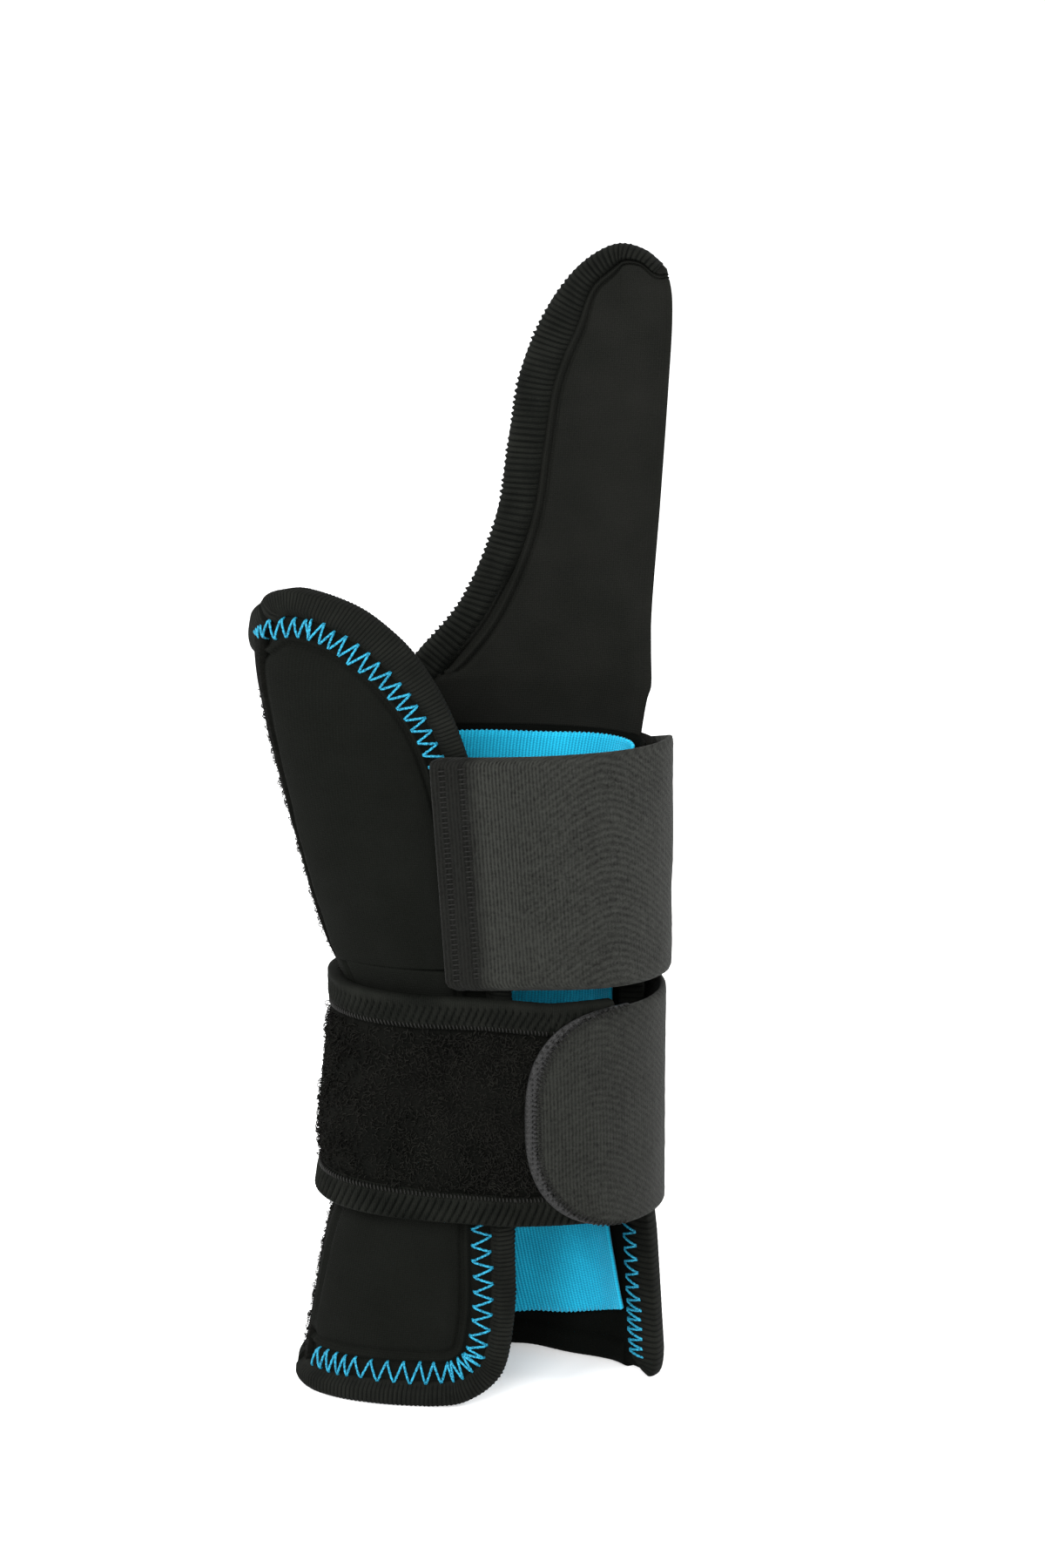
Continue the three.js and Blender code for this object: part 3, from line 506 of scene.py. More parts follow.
class Finish:
    """A procedural material. Its pattern lies in the cloth's own flat millimetres."""

    def __init__(self, name, rough, sheen, specular, metallic=0.0, flat=True):
        self.material = bpy.data.materials.new(name)
        self.material.use_nodes = True
        self.tree = self.material.node_tree
        self.shader = self.tree.nodes["Principled BSDF"]
        for socket, value in (("Roughness", rough), ("Specular IOR Level", specular), ("Metallic", metallic),
                              ("Sheen Weight", sheen), ("Sheen Roughness", 0.45)):
            self.shader.inputs[socket].default_value = value
        if flat:
            self.place = self.node("ShaderNodeAttribute", attribute_name="flat").outputs["Vector"]
        else:
            where = self.node("ShaderNodeTexCoord").outputs["Object"]
            self.place = self.vector("MULTIPLY", where, (1000.0, 1000.0, 1000.0))

    def node(self, kind, *inputs, **settings):
        made = self.tree.nodes.new(kind)
        for key, value in settings.items():
            setattr(made, key, value)
        for socket, value in zip(made.inputs, inputs):
            self.put(socket, value)
        return made

    def put(self, socket, value):
        if isinstance(value, bpy.types.NodeSocket):
            self.tree.links.new(value, socket)
        elif value is not None:
            socket.default_value = value

    def vector(self, operation, *inputs):
        return self.node("ShaderNodeVectorMath", *inputs, operation=operation).outputs[0]

    def math(self, operation, *inputs):
        return self.node("ShaderNodeMath", *inputs, operation=operation).outputs[0]

    def parts(self):
        split = self.node("ShaderNodeSeparateXYZ", self.place)
        return split.outputs[0], split.outputs[1], split.outputs[2]

    def noise(self, feature, detail=2.0, stretch=(1.0, 1.0, 1.0), rough=0.55):
        """Noise with features of this many millimetres."""
        place = self.vector("MULTIPLY", self.place, tuple(s / feature for s in stretch))
        made = self.node("ShaderNodeTexNoise")
        self.put(made.inputs["Vector"], place)
        for key, value in (("Scale", 1.0), ("Detail", detail), ("Roughness", rough)):
            made.inputs[key].default_value = value
        return made.outputs[0]

    def wave(self, value, pitch, power=1.0):
        """From 0 to 1 and back, once in each pitch."""
        wave = self.math("SINE", self.math("MULTIPLY", value, 2 * math.pi / pitch))
        wave = self.math("MULTIPLY_ADD", wave, 0.5, 0.5)
        return wave if power == 1.0 else self.math("POWER", wave, power)

    def spread(self, value, low, high):
        """The value from low to high, stretched to 0 to 1."""
        made = self.node("ShaderNodeMapRange", value, low, high, 0.0, 1.0)
        return made.outputs[0]

    def mix(self, a, b, factor):
        made = self.node("ShaderNodeMix", data_type="RGBA")
        for k, value in ((0, factor), (6, a), (7, b)):
            self.put(made.inputs[k], value)
        return made.outputs[2]

    def colour(self, socket):
        self.put(self.shader.inputs["Base Color"], socket)

    def finished(self, low, high, grain, height, depth):
        """The material, with roughness from low to high that follows the grain, and a relief of depth mm."""
        gloss = self.node("ShaderNodeMapRange", grain, 0.0, 1.0, low, high)
        self.put(self.shader.inputs["Roughness"], gloss.outputs[0])
        relief = self.node("ShaderNodeBump")
        relief.inputs["Strength"].default_value = 1.0
        relief.inputs["Distance"].default_value = depth * MM
        self.put(relief.inputs["Height"], height)
        self.put(self.shader.inputs["Normal"], relief.outputs[0])
        return self.material


def knit_finish(name, dark, light):
    """Fine jersey over neoprene: little stitches in uneven rows."""
    made = Finish(name, 0.85, 0.0, 0.02)
    u, v, _ = made.parts()
    stitch = made.math("MULTIPLY", made.wave(u, 0.525), made.wave(v, 0.42))
    grain = made.noise(0.42, 3.0)
    cloud = made.noise(14.0, 2.0)
    height = made.math("ADD", made.math("MULTIPLY", stitch, 0.45), made.math("MULTIPLY", grain, 0.8))
    factor = made.math("MULTIPLY_ADD", cloud, 0.5, made.math("MULTIPLY", height, 0.6))
    made.colour(made.mix(dark, light, made.spread(factor, 0.35, 0.95)))
    return made.finished(0.74, 0.95, grain, height, 0.10)


def pile_finish(name, dark, light):
    """Brushed loop pile: the soft ground under the loops, and the loops themselves."""
    made = Finish(name, 0.95, 0.0, 0.02)
    grain = made.noise(0.7, 4.0, rough=0.7)
    cloud = made.noise(9.0, 3.0)
    factor = made.math("MULTIPLY_ADD", cloud, 0.45, made.math("MULTIPLY", grain, 0.7))
    made.colour(made.mix(dark, light, made.spread(factor, 0.35, 0.8)))
    return made.finished(0.85, 1.0, grain, grain, 0.45)


def tape_finish(name, dark, light):
    """Knitted hem tape: fine threads across the hem, with painted shade darkening the valleys between the ribs.
    """
    made = Finish(name, 0.8, 0.0, 0.03)
    u, _, rib_shade = made.parts()
    thread = made.wave(u, 0.36)
    grain = made.noise(0.5, 3.0, (1.0, 2.0, 1.0))
    height = made.math("MULTIPLY_ADD", thread, 0.5, grain)
    factor = made.math("MULTIPLY_ADD", made.noise(7.0), 0.6, made.math("MULTIPLY", height, 0.4))
    # Painted shade: the colour darkens in the valleys between the ribs, following the third flat value.
    factor = made.math("MULTIPLY", made.spread(factor, 0.3, 0.95), made.spread(rib_shade, 0.1, 0.75))
    made.colour(made.mix(dark, light, factor))
    return made.finished(0.68, 0.92, grain, height, 0.07)


def blue_finish(name, dark, light):
    """Blue warp knit: a wale each 0.75 mm, of short slanted stitches."""
    made = Finish(name, 0.8, 0.1, 0.2)
    u, v, _ = made.parts()
    wale = made.wave(u, 0.75)
    skew = made.math("MULTIPLY_ADD", made.wave(u, 1.5), 0.25, v)
    stitch = made.wave(skew, 0.55)
    grain = made.noise(0.4, 3.0)
    height = made.math("ADD", made.math("MULTIPLY", wale, 0.8), made.math("MULTIPLY", stitch, 0.4))
    height = made.math("MULTIPLY_ADD", grain, 0.5, height)
    factor = made.math("MULTIPLY_ADD", made.noise(10.0), 0.35, made.math("MULTIPLY", height, 0.55))
    made.colour(made.mix(dark, light, made.spread(factor, 0.3, 1.0)))
    return made.finished(0.7, 0.9, grain, height, 0.10)


def thread_finish(name, dark, light):
    """Polyester thread: a soft gloss, with its two plies a little darker between."""
    made = Finish(name, 0.6, 0.0, 0.12)
    grain = made.noise(0.35, 3.0)
    made.colour(made.mix(dark, light, made.spread(grain, 0.35, 0.65)))
    return made.finished(0.42, 0.7, grain, grain, 0.05)


def webbing_finish(name, dark, light, centre, ribbed, sewn_to):
    """Woven elastic: fine ribs across it, a speckled face, and a faint herringbone."""
    made = Finish(name, 0.72, 0.03, 0.06)
    u, v, _ = made.parts()
    rib = made.wave(made.math("MULTIPLY_ADD", made.noise(3.0), 0.3, u), 0.8)
    side = made.math("ABSOLUTE", made.math("SUBTRACT", u, centre))
    fold = made.math("SQRT", made.math("MULTIPLY_ADD", side, side, 30.0))
    away = made.math("MULTIPLY_ADD", fold, 0.75, v)
    arch = made.wave(made.math("MULTIPLY_ADD", made.noise(2.0), 1.1, away), 1.6)
    speck = made.noise(0.55, 4.0, rough=0.75)
    coarse = made.noise(1.3, 3.0, rough=0.7)
    where = made.spread(made.math("MULTIPLY_ADD", made.noise(8.0), 22.0, u), ribbed + 8.0, ribbed + 30.0)
    ribs = made.math("MULTIPLY", rib, made.math("SUBTRACT", 1.05, where))
    arches = made.math("MULTIPLY", arch, made.math("MULTIPLY_ADD", where, 0.26, 0.03))
    height = made.math("MULTIPLY_ADD", ribs, 0.5, arches)
    height = made.math("MULTIPLY_ADD", speck, 1.5, height)
    height = made.math("MULTIPLY_ADD", coarse, 0.9, height)
    factor = made.spread(made.math("MULTIPLY_ADD", made.noise(12.0), 0.3, height), 1.0, 1.85)
    sewn = made.spread(made.math("MULTIPLY_ADD", made.noise(1.5), 2.5, u), sewn_to, sewn_to + 4.0)
    factor = made.math("MULTIPLY", factor, made.math("MULTIPLY_ADD", sewn, 0.75, 0.25))
    made.colour(made.mix(dark, light, factor))
    return made.finished(0.6, 0.85, speck, height, 0.22)


def hook_finish(name, dark, light):
    """Hook tape: rows of stiff little hooks."""
    made = Finish(name, 0.55, 0.0, 0.35)
    u, v, _ = made.parts()
    hooks = made.math("MULTIPLY", made.wave(u, 1.0, 2.0), made.wave(v, 1.2, 2.0))
    grain = made.noise(0.4, 3.0)
    height = made.math("MULTIPLY_ADD", hooks, 1.2, grain)
    made.colour(made.mix(dark, light, made.spread(height, 0.4, 1.5)))
    return made.finished(0.4, 0.75, grain, height, 0.3)


def metal_finish(name):
    """Formable aluminium strip, brushed along its length."""
    made = Finish(name, 0.35, 0.0, 0.5, 1.0, flat=False)
    brushed = made.noise(0.5, 4.0, (1.0, 1.0, 0.03))
    made.colour(made.mix(tint(150, 153, 156), tint(200, 203, 205), made.spread(brushed, 0.3, 0.7)))
    return made.finished(0.28, 0.5, brushed, brushed, 0.03)


def plastic_finish(name):
    """Moulded nylon stay with a matt, slightly pebbled face."""
    made = Finish(name, 0.5, 0.0, 0.4, flat=False)
    grain = made.noise(0.8, 4.0)
    made.colour(made.mix(tint(34, 36, 38), tint(52, 54, 56), made.spread(grain, 0.3, 0.7)))
    return made.finished(0.42, 0.62, grain, grain, 0.06)


neoprene = knit_finish("neoprene_jersey", tint(9, 10, 8), tint(17, 18, 16))
tongue_knit = knit_finish("tongue_jersey", tint(14, 15, 13), tint(25, 25, 23))
lining_knit = knit_finish("lining_knit", tint(5, 6, 5), tint(10, 11, 9))
pile_ground = pile_finish("pile_ground", tint(5, 6, 5), tint(15, 15, 13))
pile_loop = pile_finish("pile_loop", tint(5, 5, 5), tint(30, 30, 27))
# A lighter copy of the pile loop colour for the loops on the back panel, seen at its sides: painted light where
# the side lamps catch them.
lit_side_loop = pile_finish("lit_side_pile_loop", tint(12, 12, 11), tint(32, 32, 29))
hem_tape = tape_finish("hem_tape", tint(6, 7, 6), tint(26, 27, 24))
band_tape = tape_finish("band_tape", tint(3, 4, 3), tint(24, 25, 22))
blue_knit = blue_finish("blue_knit", tint(2, 118, 150), tint(22, 178, 216))
blue_thread = thread_finish("blue_thread", tint(6, 66, 90), tint(44, 148, 178))
dark_thread = thread_finish("dark_thread", tint(7, 7, 6), tint(22, 22, 20))
elastic = webbing_finish("woven_elastic", tint(4, 4, 3), tint(40, 41, 38), 38.0, 17.0, 8.0)
tab_elastic = webbing_finish("tab_elastic", tint(3, 3, 2), tint(34, 35, 32), 14.0, 2.0, -8.0)
hook_tape = hook_finish("hook_tape", tint(5, 5, 5), tint(14, 14, 13))
aluminium = metal_finish("formable_aluminium")
nylon = plastic_finish("moulded_nylon")

for node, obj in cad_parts.items():
    finish = neoprene
    if node in ("palm_stay", "cuff_stay"):
        finish = nylon
    elif node.endswith("_stay"):
        finish = aluminium
    obj.data.materials.clear()
    obj.data.materials.append(finish)

# ---- The wrap: back panel ----

BACK_LEFT = SEAM - SEAM_GAP


def back_right(t):
    height = lerp(EDGE_INSET, BACK_HIGH - BACK_DIP, t)
    angle = between(RIGHT_EDGE, 1, height)
    return angle + EDGE_INSET / degree_length(angle, height), height


def back_high(u):
    """The top edge. It dips at its right end, under the hand strap."""
    angle = lerp(back_right(np.array([1.0]))[0][0], BACK_LEFT, u)
    plain = BACK_HIGH - BACK_DIP * smooth(48, 22, angle)
    return angle, np.where(angle > TONGUE_LEFT, between(BACK_TOP, 1, angle) - EDGE_INSET, plain)


def level(height, start, end):
    return lambda u: (lerp(start, end, u), height + 0.0 * u)


def upright(angle, low, high):
    return lambda v: (angle + 0.0 * v, lerp(low, high, v))


def run_of(angle, height, offset=COVER):
    """Millimetres along a grid's rows, from its first column."""
    points = wall(angle, height, offset)
    steps = np.linalg.norm(np.diff(points, axis=1), axis=2)
    return np.concatenate([np.zeros((len(points), 1)), np.cumsum(steps, 1)], 1)


top_left = float(between(BACK_TOP, 1, BACK_LEFT)) - EDGE_INSET
a, h = filled(level(EDGE_INSET, float(back_right(np.array([0.0]))[0][0]), BACK_LEFT), back_high, back_right,
              upright(BACK_LEFT, EDGE_INSET, top_left), 230, 170)
soft = 0.16 * wobble(a * 0.55, 11, 3, h) + 0.10 * wobble(a * 0.55, 4, 4, h)
flat = ((SEAM - a) * CLOTH_DEGREE, h)
back_lining = shell("back_lining_knit", back_wall(a, h, 0.0), back_wall(a, h, 1.1 + 0 * a), lining_knit, flat)
back_cover = shell("back_pile_cover", back_wall(a, h, 1.15), back_wall(a, h, COVER + soft), pile_ground, flat)
back_grid = back_wall(a, h, 0.5)

right_tape = tape("right_edge_tape", right_edge, 0.0, 1.0, 8.4, -1.0, 4.4, hem_tape, 1.3, 0.10, 21,
                  groove=(5.3, 2.0, 0.3), on=back_wall, face=-1, nose=0.8)
top_tape = tape("back_top_tape", back_top, 0.0, 1.0, 5.8, -1.0, 4.75, hem_tape, 0.95, 0.12, 22, nose=0.6)
hem_tape_back = tape("back_hem_tape", back_hem, 0.0, 1.0, 7.2, -0.8, 4.4, lining_knit, 1.2, 0.04, 23,
                     on=back_wall)
right_zigzag = zigzag("right_edge_zigzag", right_edge, 0.695, 0.97, 3.1, 7.9, 14, -1.05, 24,
                      crowd=lambda s: np.where(s < 0.6, s * 1.14, 0.684 + (s - 0.6) * 0.79),
                      on=back_wall, face=-1)

rng = np.random.default_rng(31)
wanted = 5600
pile_a = np.where(rng.random(wanted) < 0.3, rng.uniform(150, 189.3, wanted), rng.uniform(0, 165, wanted))
pile_h = rng.uniform(6, 156, wanted)
high_enough = np.interp(pile_a, [0, 20, 128, 150, 170, 190], [60, 150, 149, 152, 157, 160])
pile_h = 7 + (pile_h - 6) / 150 * (high_enough - 8)
clear = pile_a > 27  # of the flared flap and the tab
# The back's loops take the lighter copy of the loop colour, which is painted light.
back_pile = pile("back_pile_loops", pile_a[clear], pile_h[clear], COVER - 0.05, 0.42, lit_side_loop, 32,
                 on=back_wall)

# ---- The wrap: blue panel ----

BLUE_LEFT, BLUE_LOW, BLUE_HIGH = 118.0, 8.2, 143.4
blue_right = Line(spline([[11, 14.6], [15, 24], [19, 34], [18, 60], [15, 90], [12, 118], [3, 138],
                          [1, 144.2]]))


def blue_low(u):
    """The lower edge, which rises towards the right."""
    return lerp(11, BLUE_LEFT, u), BLUE_LOW + 6.4 * np.clip(1 - u / 0.6, 0, 1) ** 1.5


a, h = filled(blue_low, lambda u: (lerp(1, BLUE_LEFT, u), lerp(144.2, BLUE_HIGH, u)),
              lambda v: blue_right.at(v), upright(BLUE_LEFT, BLUE_LOW, BLUE_HIGH), 640, 64)
run = run_of(a, h, -2)
teeth = 0.34 * (2 * np.abs((run / 1.1) % 1 - 0.5) - 0.5)
rows = np.linspace(0, 1, h.shape[0])[:, None]
h = h + teeth * (smooth(0.97, 1, rows) + smooth(0.03, 0, rows)) + 0.35 * wobble(run, 14, 8) * rows
wale = 0.075 * np.cos(2 * np.pi * run / 0.75) + 0.15 * wobble(run, 12, 9, h)
blue_points = back_wall(a, h, -2.1 - wale)
blue = shell("blue_knit_panel", blue_points, back_wall(a, h, -1.25 + 0 * a), blue_knit, (run, h), roll=0.1)

# ---- The palm: cuff flap and wing ----


def palm_profile(d, groove_at):
    """How the cover rises and falls with the distance from its hem: a sewn valley, a lip, a groove, a pad."""
    return (-0.95 * smooth(3.9, 5.7, d) * smooth(groove_at - 0.8, groove_at - 2.4, d)
            + 0.35 * bump(d, groove_at - 1.35, 0.7) - 0.95 * bump(d, groove_at, 0.55)
            + 0.35 * smooth(groove_at + 0.3, groove_at + 3.5, d))


def seam_profile(d, groove_at, width=0.6):
    """The same beside the left seam."""
    return -0.95 * bump(d, groove_at, width) - 0.7 * smooth(1.0, 0.0, d)


def wing_narrow(t):
    """The wing's hem is narrower where the hand strap crosses it."""
    return 1 - 0.12 * smooth(0.25, 0.58, t)


def palm_panel(name, borders, columns, edge, groove_at, seam_groove, seed, narrow=lambda t: 1.0):
    """Lining and padded cover of a palm piece inside its borders, and the grid of points between them."""
    a, h = filled(*borders, columns, 150)
    d, t = distance_to(edge, wall(a, h, COVER))
    flat = ((a - SEAM) * CLOTH_DEGREE, h)
    from_seam = (a - a[:, :1]) * degree_length(a, h)
    pad = (palm_profile(d / narrow(t), groove_at) + seam_profile(from_seam, *seam_groove)
           + 0.14 * wobble(a * CLOTH_DEGREE, 9, seed, h) + 0.07 * wobble(a * CLOTH_DEGREE, 3, seed + 1, h))
    lining = shell(name + "_lining_knit", wall(a, h, 0.0), wall(a, h, 1.1), lining_knit, flat)
    cover = shell(name + "_cover_knit", wall(a, h, 1.15), wall(a, h, COVER + pad), neoprene, flat)
    return lining, cover, wall(a, h, 0.5)


PALM_LEFT = SEAM + SEAM_GAP
CUFF_TOP, WING_FOOT = 99.0, 98.6
wing_inner = Line(np.stack(wing_edge.at(wing_edge.t, EDGE_INSET), 1), -1)
seam_share = float(np.interp(PALM_LEFT, wing_inner.rows[:300, 0], wing_inner.t[:300]))
seam_top = float(wing_inner.at(seam_share)[1])
wing_lining, wing_cover, wing_grid = palm_panel("wing", (
    level(WING_FOOT, PALM_LEFT, float(wing_inner.rows[-1, 0])),
    lambda u: wing_inner.at(lerp(seam_share, WING_CORNER, u)),
    upright(PALM_LEFT, WING_FOOT, seam_top),
    lambda v: wing_inner.at(lerp(1, WING_CORNER, v)),
), 110, wing_edge, 11.7, (0.9, 0.7), 41, wing_narrow)

cuff_inner = Line(np.stack(cuff_edge.at(cuff_edge.t, EDGE_INSET), 1), -1)
low_left = cuff_inner.rows[-1]
cuff_lining, cuff_cover, cuff_grid = palm_panel("cuff", (
    lambda u: cuff_inner.at(lerp(1, CUFF_CORNER, u)),
    level(CUFF_TOP, PALM_LEFT, float(cuff_inner.rows[0, 0])),
    lambda v: (lerp(low_left[0], PALM_LEFT, v), lerp(low_left[1], CUFF_TOP, v)),
    lambda v: cuff_inner.at(lerp(CUFF_CORNER, 0, v)),
), 100, cuff_edge, 12.0, (4.4,), 43)

BELOW_ZIGZAG = 0.388  # share of the wing's edge that the hand strap hides
zigzag_end = 1 - BELOW_ZIGZAG * (len(wing_edge.rows) - 1) / (len(wing_wrap.rows) - 1)
wing_tape = tape("wing_hem_tape", wing_edge, 0.0, 1.0, 5.8, -1.0, 4.75, hem_tape, 0.95, 0.14, 51,
                 narrow=wing_narrow, nose=0.6)
cuff_tape = tape("cuff_hem_tape", cuff_edge, 0.0, 1.0, 5.5, -1.0, 4.75, hem_tape, 1.0, 0.28, 52)
wing_zigzag = zigzag("wing_zigzag", wing_wrap, zigzag_end, 0.004, 5.2, 9.9, 24, 3.7, 53,
                     crowd=lambda s: np.where(s > 0.86, 0.9 + (s - 0.86) * 0.715, s * 0.9 / 0.86),
                     narrow=wing_narrow)
cuff_zigzag = zigzag("cuff_zigzag", cuff_edge, 0.985, 0.37, 5.0, 10.0, 25, 3.7, 54,
                     crowd=lambda s: np.where(s < 0.17, s * 0.6, 0.102 + (s - 0.17) * 0.898 / 0.83))


def bar(x0, x1, low, high, inner, outer, corner=5.0):
    """A flat stay with clipped corners, let into the palm wall."""
    h, u = np.meshgrid(np.linspace(low, high, 49), np.linspace(0, 1, 9), indexing="ij")
    clip = np.maximum(corner - np.minimum(h - low, high - h), 0) * 0.6
    a = angle_at(lerp(x0 + clip, x1 - clip, u), h)
    return wall(a, h, inner), wall(a, h, outer), (u * (x1 - x0), h)


inner, outer, flat = bar(-26, -8, 104, 152, 1.35, 2.35)
palm_stay = shell("palm_stay_strip", inner, outer, nylon, flat, roll=0.3)

# ---- The finger tongue ----

FOOT_LOW = 145.0


def tongue_narrow(t):
    """The hem runs out at the tip's right side."""
    return 1 - 0.35 * smooth(0.70, 0.86, t) - 0.35 * smooth(0.84, 1.0, t)


columns, rows = 120, 230
u, v = np.meshgrid(np.linspace(0, 1, columns + 1), np.linspace(-0.12, 1, rows + 1))
rise = np.sin(np.clip(v, 0, 1) * np.pi / 2)
left_a, left_h = tongue_edge.at(rise * TONGUE_CORNER, EDGE_INSET)
right_a, right_h = tongue_fold.at(rise)
a = lerp(right_a, left_a, u)
h = lerp(right_h, left_h, u)
h = np.where(v < 0, lerp(h, FOOT_LOW, np.clip(-v / 0.12, 0, 1)), h)
d, t = distance_to(tongue_edge, wall(a, h, COVER))
foot = smooth(158, 150, h)
d = d / tongue_narrow(t) + 30 * foot
panel = (-0.15 - 0.5 * bump(d, 8.7, 0.55) + 0.85 * bump(d, 7.6, 0.6) + 0.75 * bump(d, 10.1, 0.42)
         + 0.16 * wobble(a * 0.6, 10, 61, h) + 0.05 * wobble(a * 0.6, 3, 62, h)
         - 0.35 * smooth(11, 18, d) * (1 - foot))
across = run_of(a, h, 0.0)
fold_round = 1.35 * bump(across, 0, 1.6)
flat = (across, h)
behind = lerp(3.9 - panel * 0.6, 3.3, foot) - fold_round
tongue = shell("tongue_sleeve_knit", wall(a, h, panel + fold_round), wall(a, h, behind), tongue_knit, flat,
               roll=0.7)
tongue_tape = tape("tongue_hem_tape", tongue_edge, 0.0, 1.0, 8.0, -1.05, 4.65, hem_tape, 1.35, 0.5, 63,
                   uneven=0.75, narrow=tongue_narrow)

# ---- The hand strap ----

HAND_LOW, HAND_HIGH = 95.2, 147.6
HAND_WEB = (5.9, 7.2)


def signed(angle):
    return np.where(angle > 180, angle - 360, angle)


def hand_lift(angle, height):
    turn = signed(angle)
    x, half = middle_and_half(height)
    bow = np.where(turn < 0, smooth(-75, -12, turn), 1 - smooth(12, 70, turn))
    return (44.75 - x - half - 5.9) * bow + np.where(turn > 0, (1 - bow) * -1.0, 0)


def strap_grid(end_x, low, high, anchor, corner, columns, rows, ends):
    """Angles and heights of a strap from its free end on the palm, round the right side, to its anchor."""
    v = np.linspace(0, 1, rows + 1)[:, None]
    v = lerp(v, 0.5 - 0.5 * np.cos(np.pi * v), ends)
    height = lerp(low, high, v)
    from_end = np.minimum(height - low, high - height)
    cut = np.maximum(corner - from_end, 0)
    x = end_x(height) + corner - np.sqrt(np.maximum(corner**2 - cut**2, 0))
    start = angle_at(x, height)
    s = np.linspace(0, 1, columns + 1)[None, :]
    angle = lerp(start, 360 + anchor, s)
    return angle, height + 0 * s


def even_run(angle, height, offset):
    """The same grid with its columns evenly spaced in millimetres."""
    run = run_of(angle, height, offset)
    share = run / run[:, -1:]
    target = np.linspace(0, 1, angle.shape[1])
    return np.stack([np.interp(target, share[j], angle[j]) for j in range(len(angle))])


def hand_end(height):
    return lerp(-3.4, -7.2, (height - HAND_LOW) / (HAND_HIGH - HAND_LOW))


a, h = strap_grid(hand_end, HAND_LOW, HAND_HIGH, 82.0, 2.2, 820, 30, 0.6)
a = even_run(a, h, HAND_WEB[1] + hand_lift(a, h))
h = h - 6.0 * smooth(-14, 34, signed(a)) * (h - HAND_LOW) / (HAND_HIGH - HAND_LOW)
lift = hand_lift(a, h)
run = run_of(a, h, HAND_WEB[1] + lift)
edge = np.minimum(h - h[:1], h[-1:] - h)
rib = 0.5 + 0.5 * np.cos(2 * np.pi * (run + 0.12 * wobble(h, 9, 70)) / 0.8)
strong = 0.035 + 0.11 * bump(run, 17.5, 6.5)
face = ((rib - 0.5) * strong + 0.16 * wobble(run, 8, 71, h) + 0.06 * wobble(run, 1.2, 72, h)
        - 0.38 * smooth(1.1, 0.0, edge) - 0.32 * bump(run, 2.4, 0.8) - 0.25 * bump(run, 6.6, 0.8)
        + 0.3 * smooth(9.5, 6, run))
wave = 0.3 * wobble(run, 21, 73, h * 0.6) * smooth(10, 30, run)
hand_points = wall(a, h, HAND_WEB[1] + lift + face + wave)
under = wall(a, h, HAND_WEB[0] + lift + wave + 0.1 * (rib - 0.5) + 0.2 * smooth(1.0, 0, edge))
hand_strap = shell("hand_strap_elastic", under, hand_points, elastic, (run, h), roll=0.22)

hook_h, hook_s = np.meshgrid(np.linspace(HAND_LOW + 1.2, HAND_HIGH - 1.2, 60), np.linspace(0, 1, 60),
                             indexing="ij")
hook_x = lerp(hand_end(hook_h) + 0.6, hand_end(hook_h) + 24.0, hook_s)
hook_a = angle_at(hook_x, hook_h)
nubs = 0.12 * np.cos(hook_x * 2 * np.pi / 1.4) * np.cos(hook_h * 2 * np.pi / 1.4)
hook_lift = hand_lift(hook_a, hook_h)
hand_hook = shell("hand_hook_patch", wall(hook_a, hook_h, 5.0 + nubs + hook_lift),
                  wall(hook_a, hook_h, 5.8 + hook_lift), hook_tape, (hook_x, hook_h), roll=0.1)


def rungs(name, heights, x_from, x_to, offset, lift, seed):
    """Short stitches across, one above the other, between two x."""
    rng = np.random.default_rng(seed)
    f = np.linspace(0, 1, 7)[None, :]
    heights = heights + rng.normal(0, 0.08, len(heights))
    x = lerp(x_from(heights)[:, None] + rng.normal(0, 0.08, (len(heights), 1)), x_to(heights)[:, None], f)
    h = heights[:, None] + 0.25 * (f - 0.5) + 0 * x
    a = angle_at(x, h)
    o = offset + lift(a, h) + 0.16 * np.sin(np.pi * f) - 0.7 * np.abs(2 * f - 1) ** 6
    return threads(name, a, h, o, 0.2 * np.ones(7), 6, dark_thread)


rung_heights = np.arange(HAND_LOW + 2.5, HAND_HIGH - 2.0, 1.15)
both = np.concatenate([rung_heights, rung_heights + 0.5])
column = np.concatenate([np.zeros(len(rung_heights)), np.ones(len(rung_heights))])
hand_stitches = rungs("hand_strap_stitching", both, lambda h: hand_end(h) + 1.3 + 4.3 * column,
                      lambda h: hand_end(h) + 3.4 + 4.3 * column, HAND_WEB[1] + 0.12, hand_lift, 75)

# ---- The wrist band ----

BAND_LOW, BAND_HIGH = 41.6, 93.8
BAND_END = 30.0


def band_lift(angle, height):
    """The band hugs the wrist at its upper left corner."""
    return (-1.8 * smooth(80, 94, height) + 0.8 * bump(height, 60, 8)) * bump(angle, 189, 24)


def band_low(angle):
    """The band's lower edge, a little higher at the left side."""
    return BAND_LOW + 2.4 * np.clip((285 - angle) / 100, 0, 1) * smooth(96, 130, angle)


def band_high(angle):
    """The band's top edge, which falls towards its end on the palm."""
    return BAND_HIGH - 1.8 * np.clip((angle - 240) / 64, 0, 1) ** 2


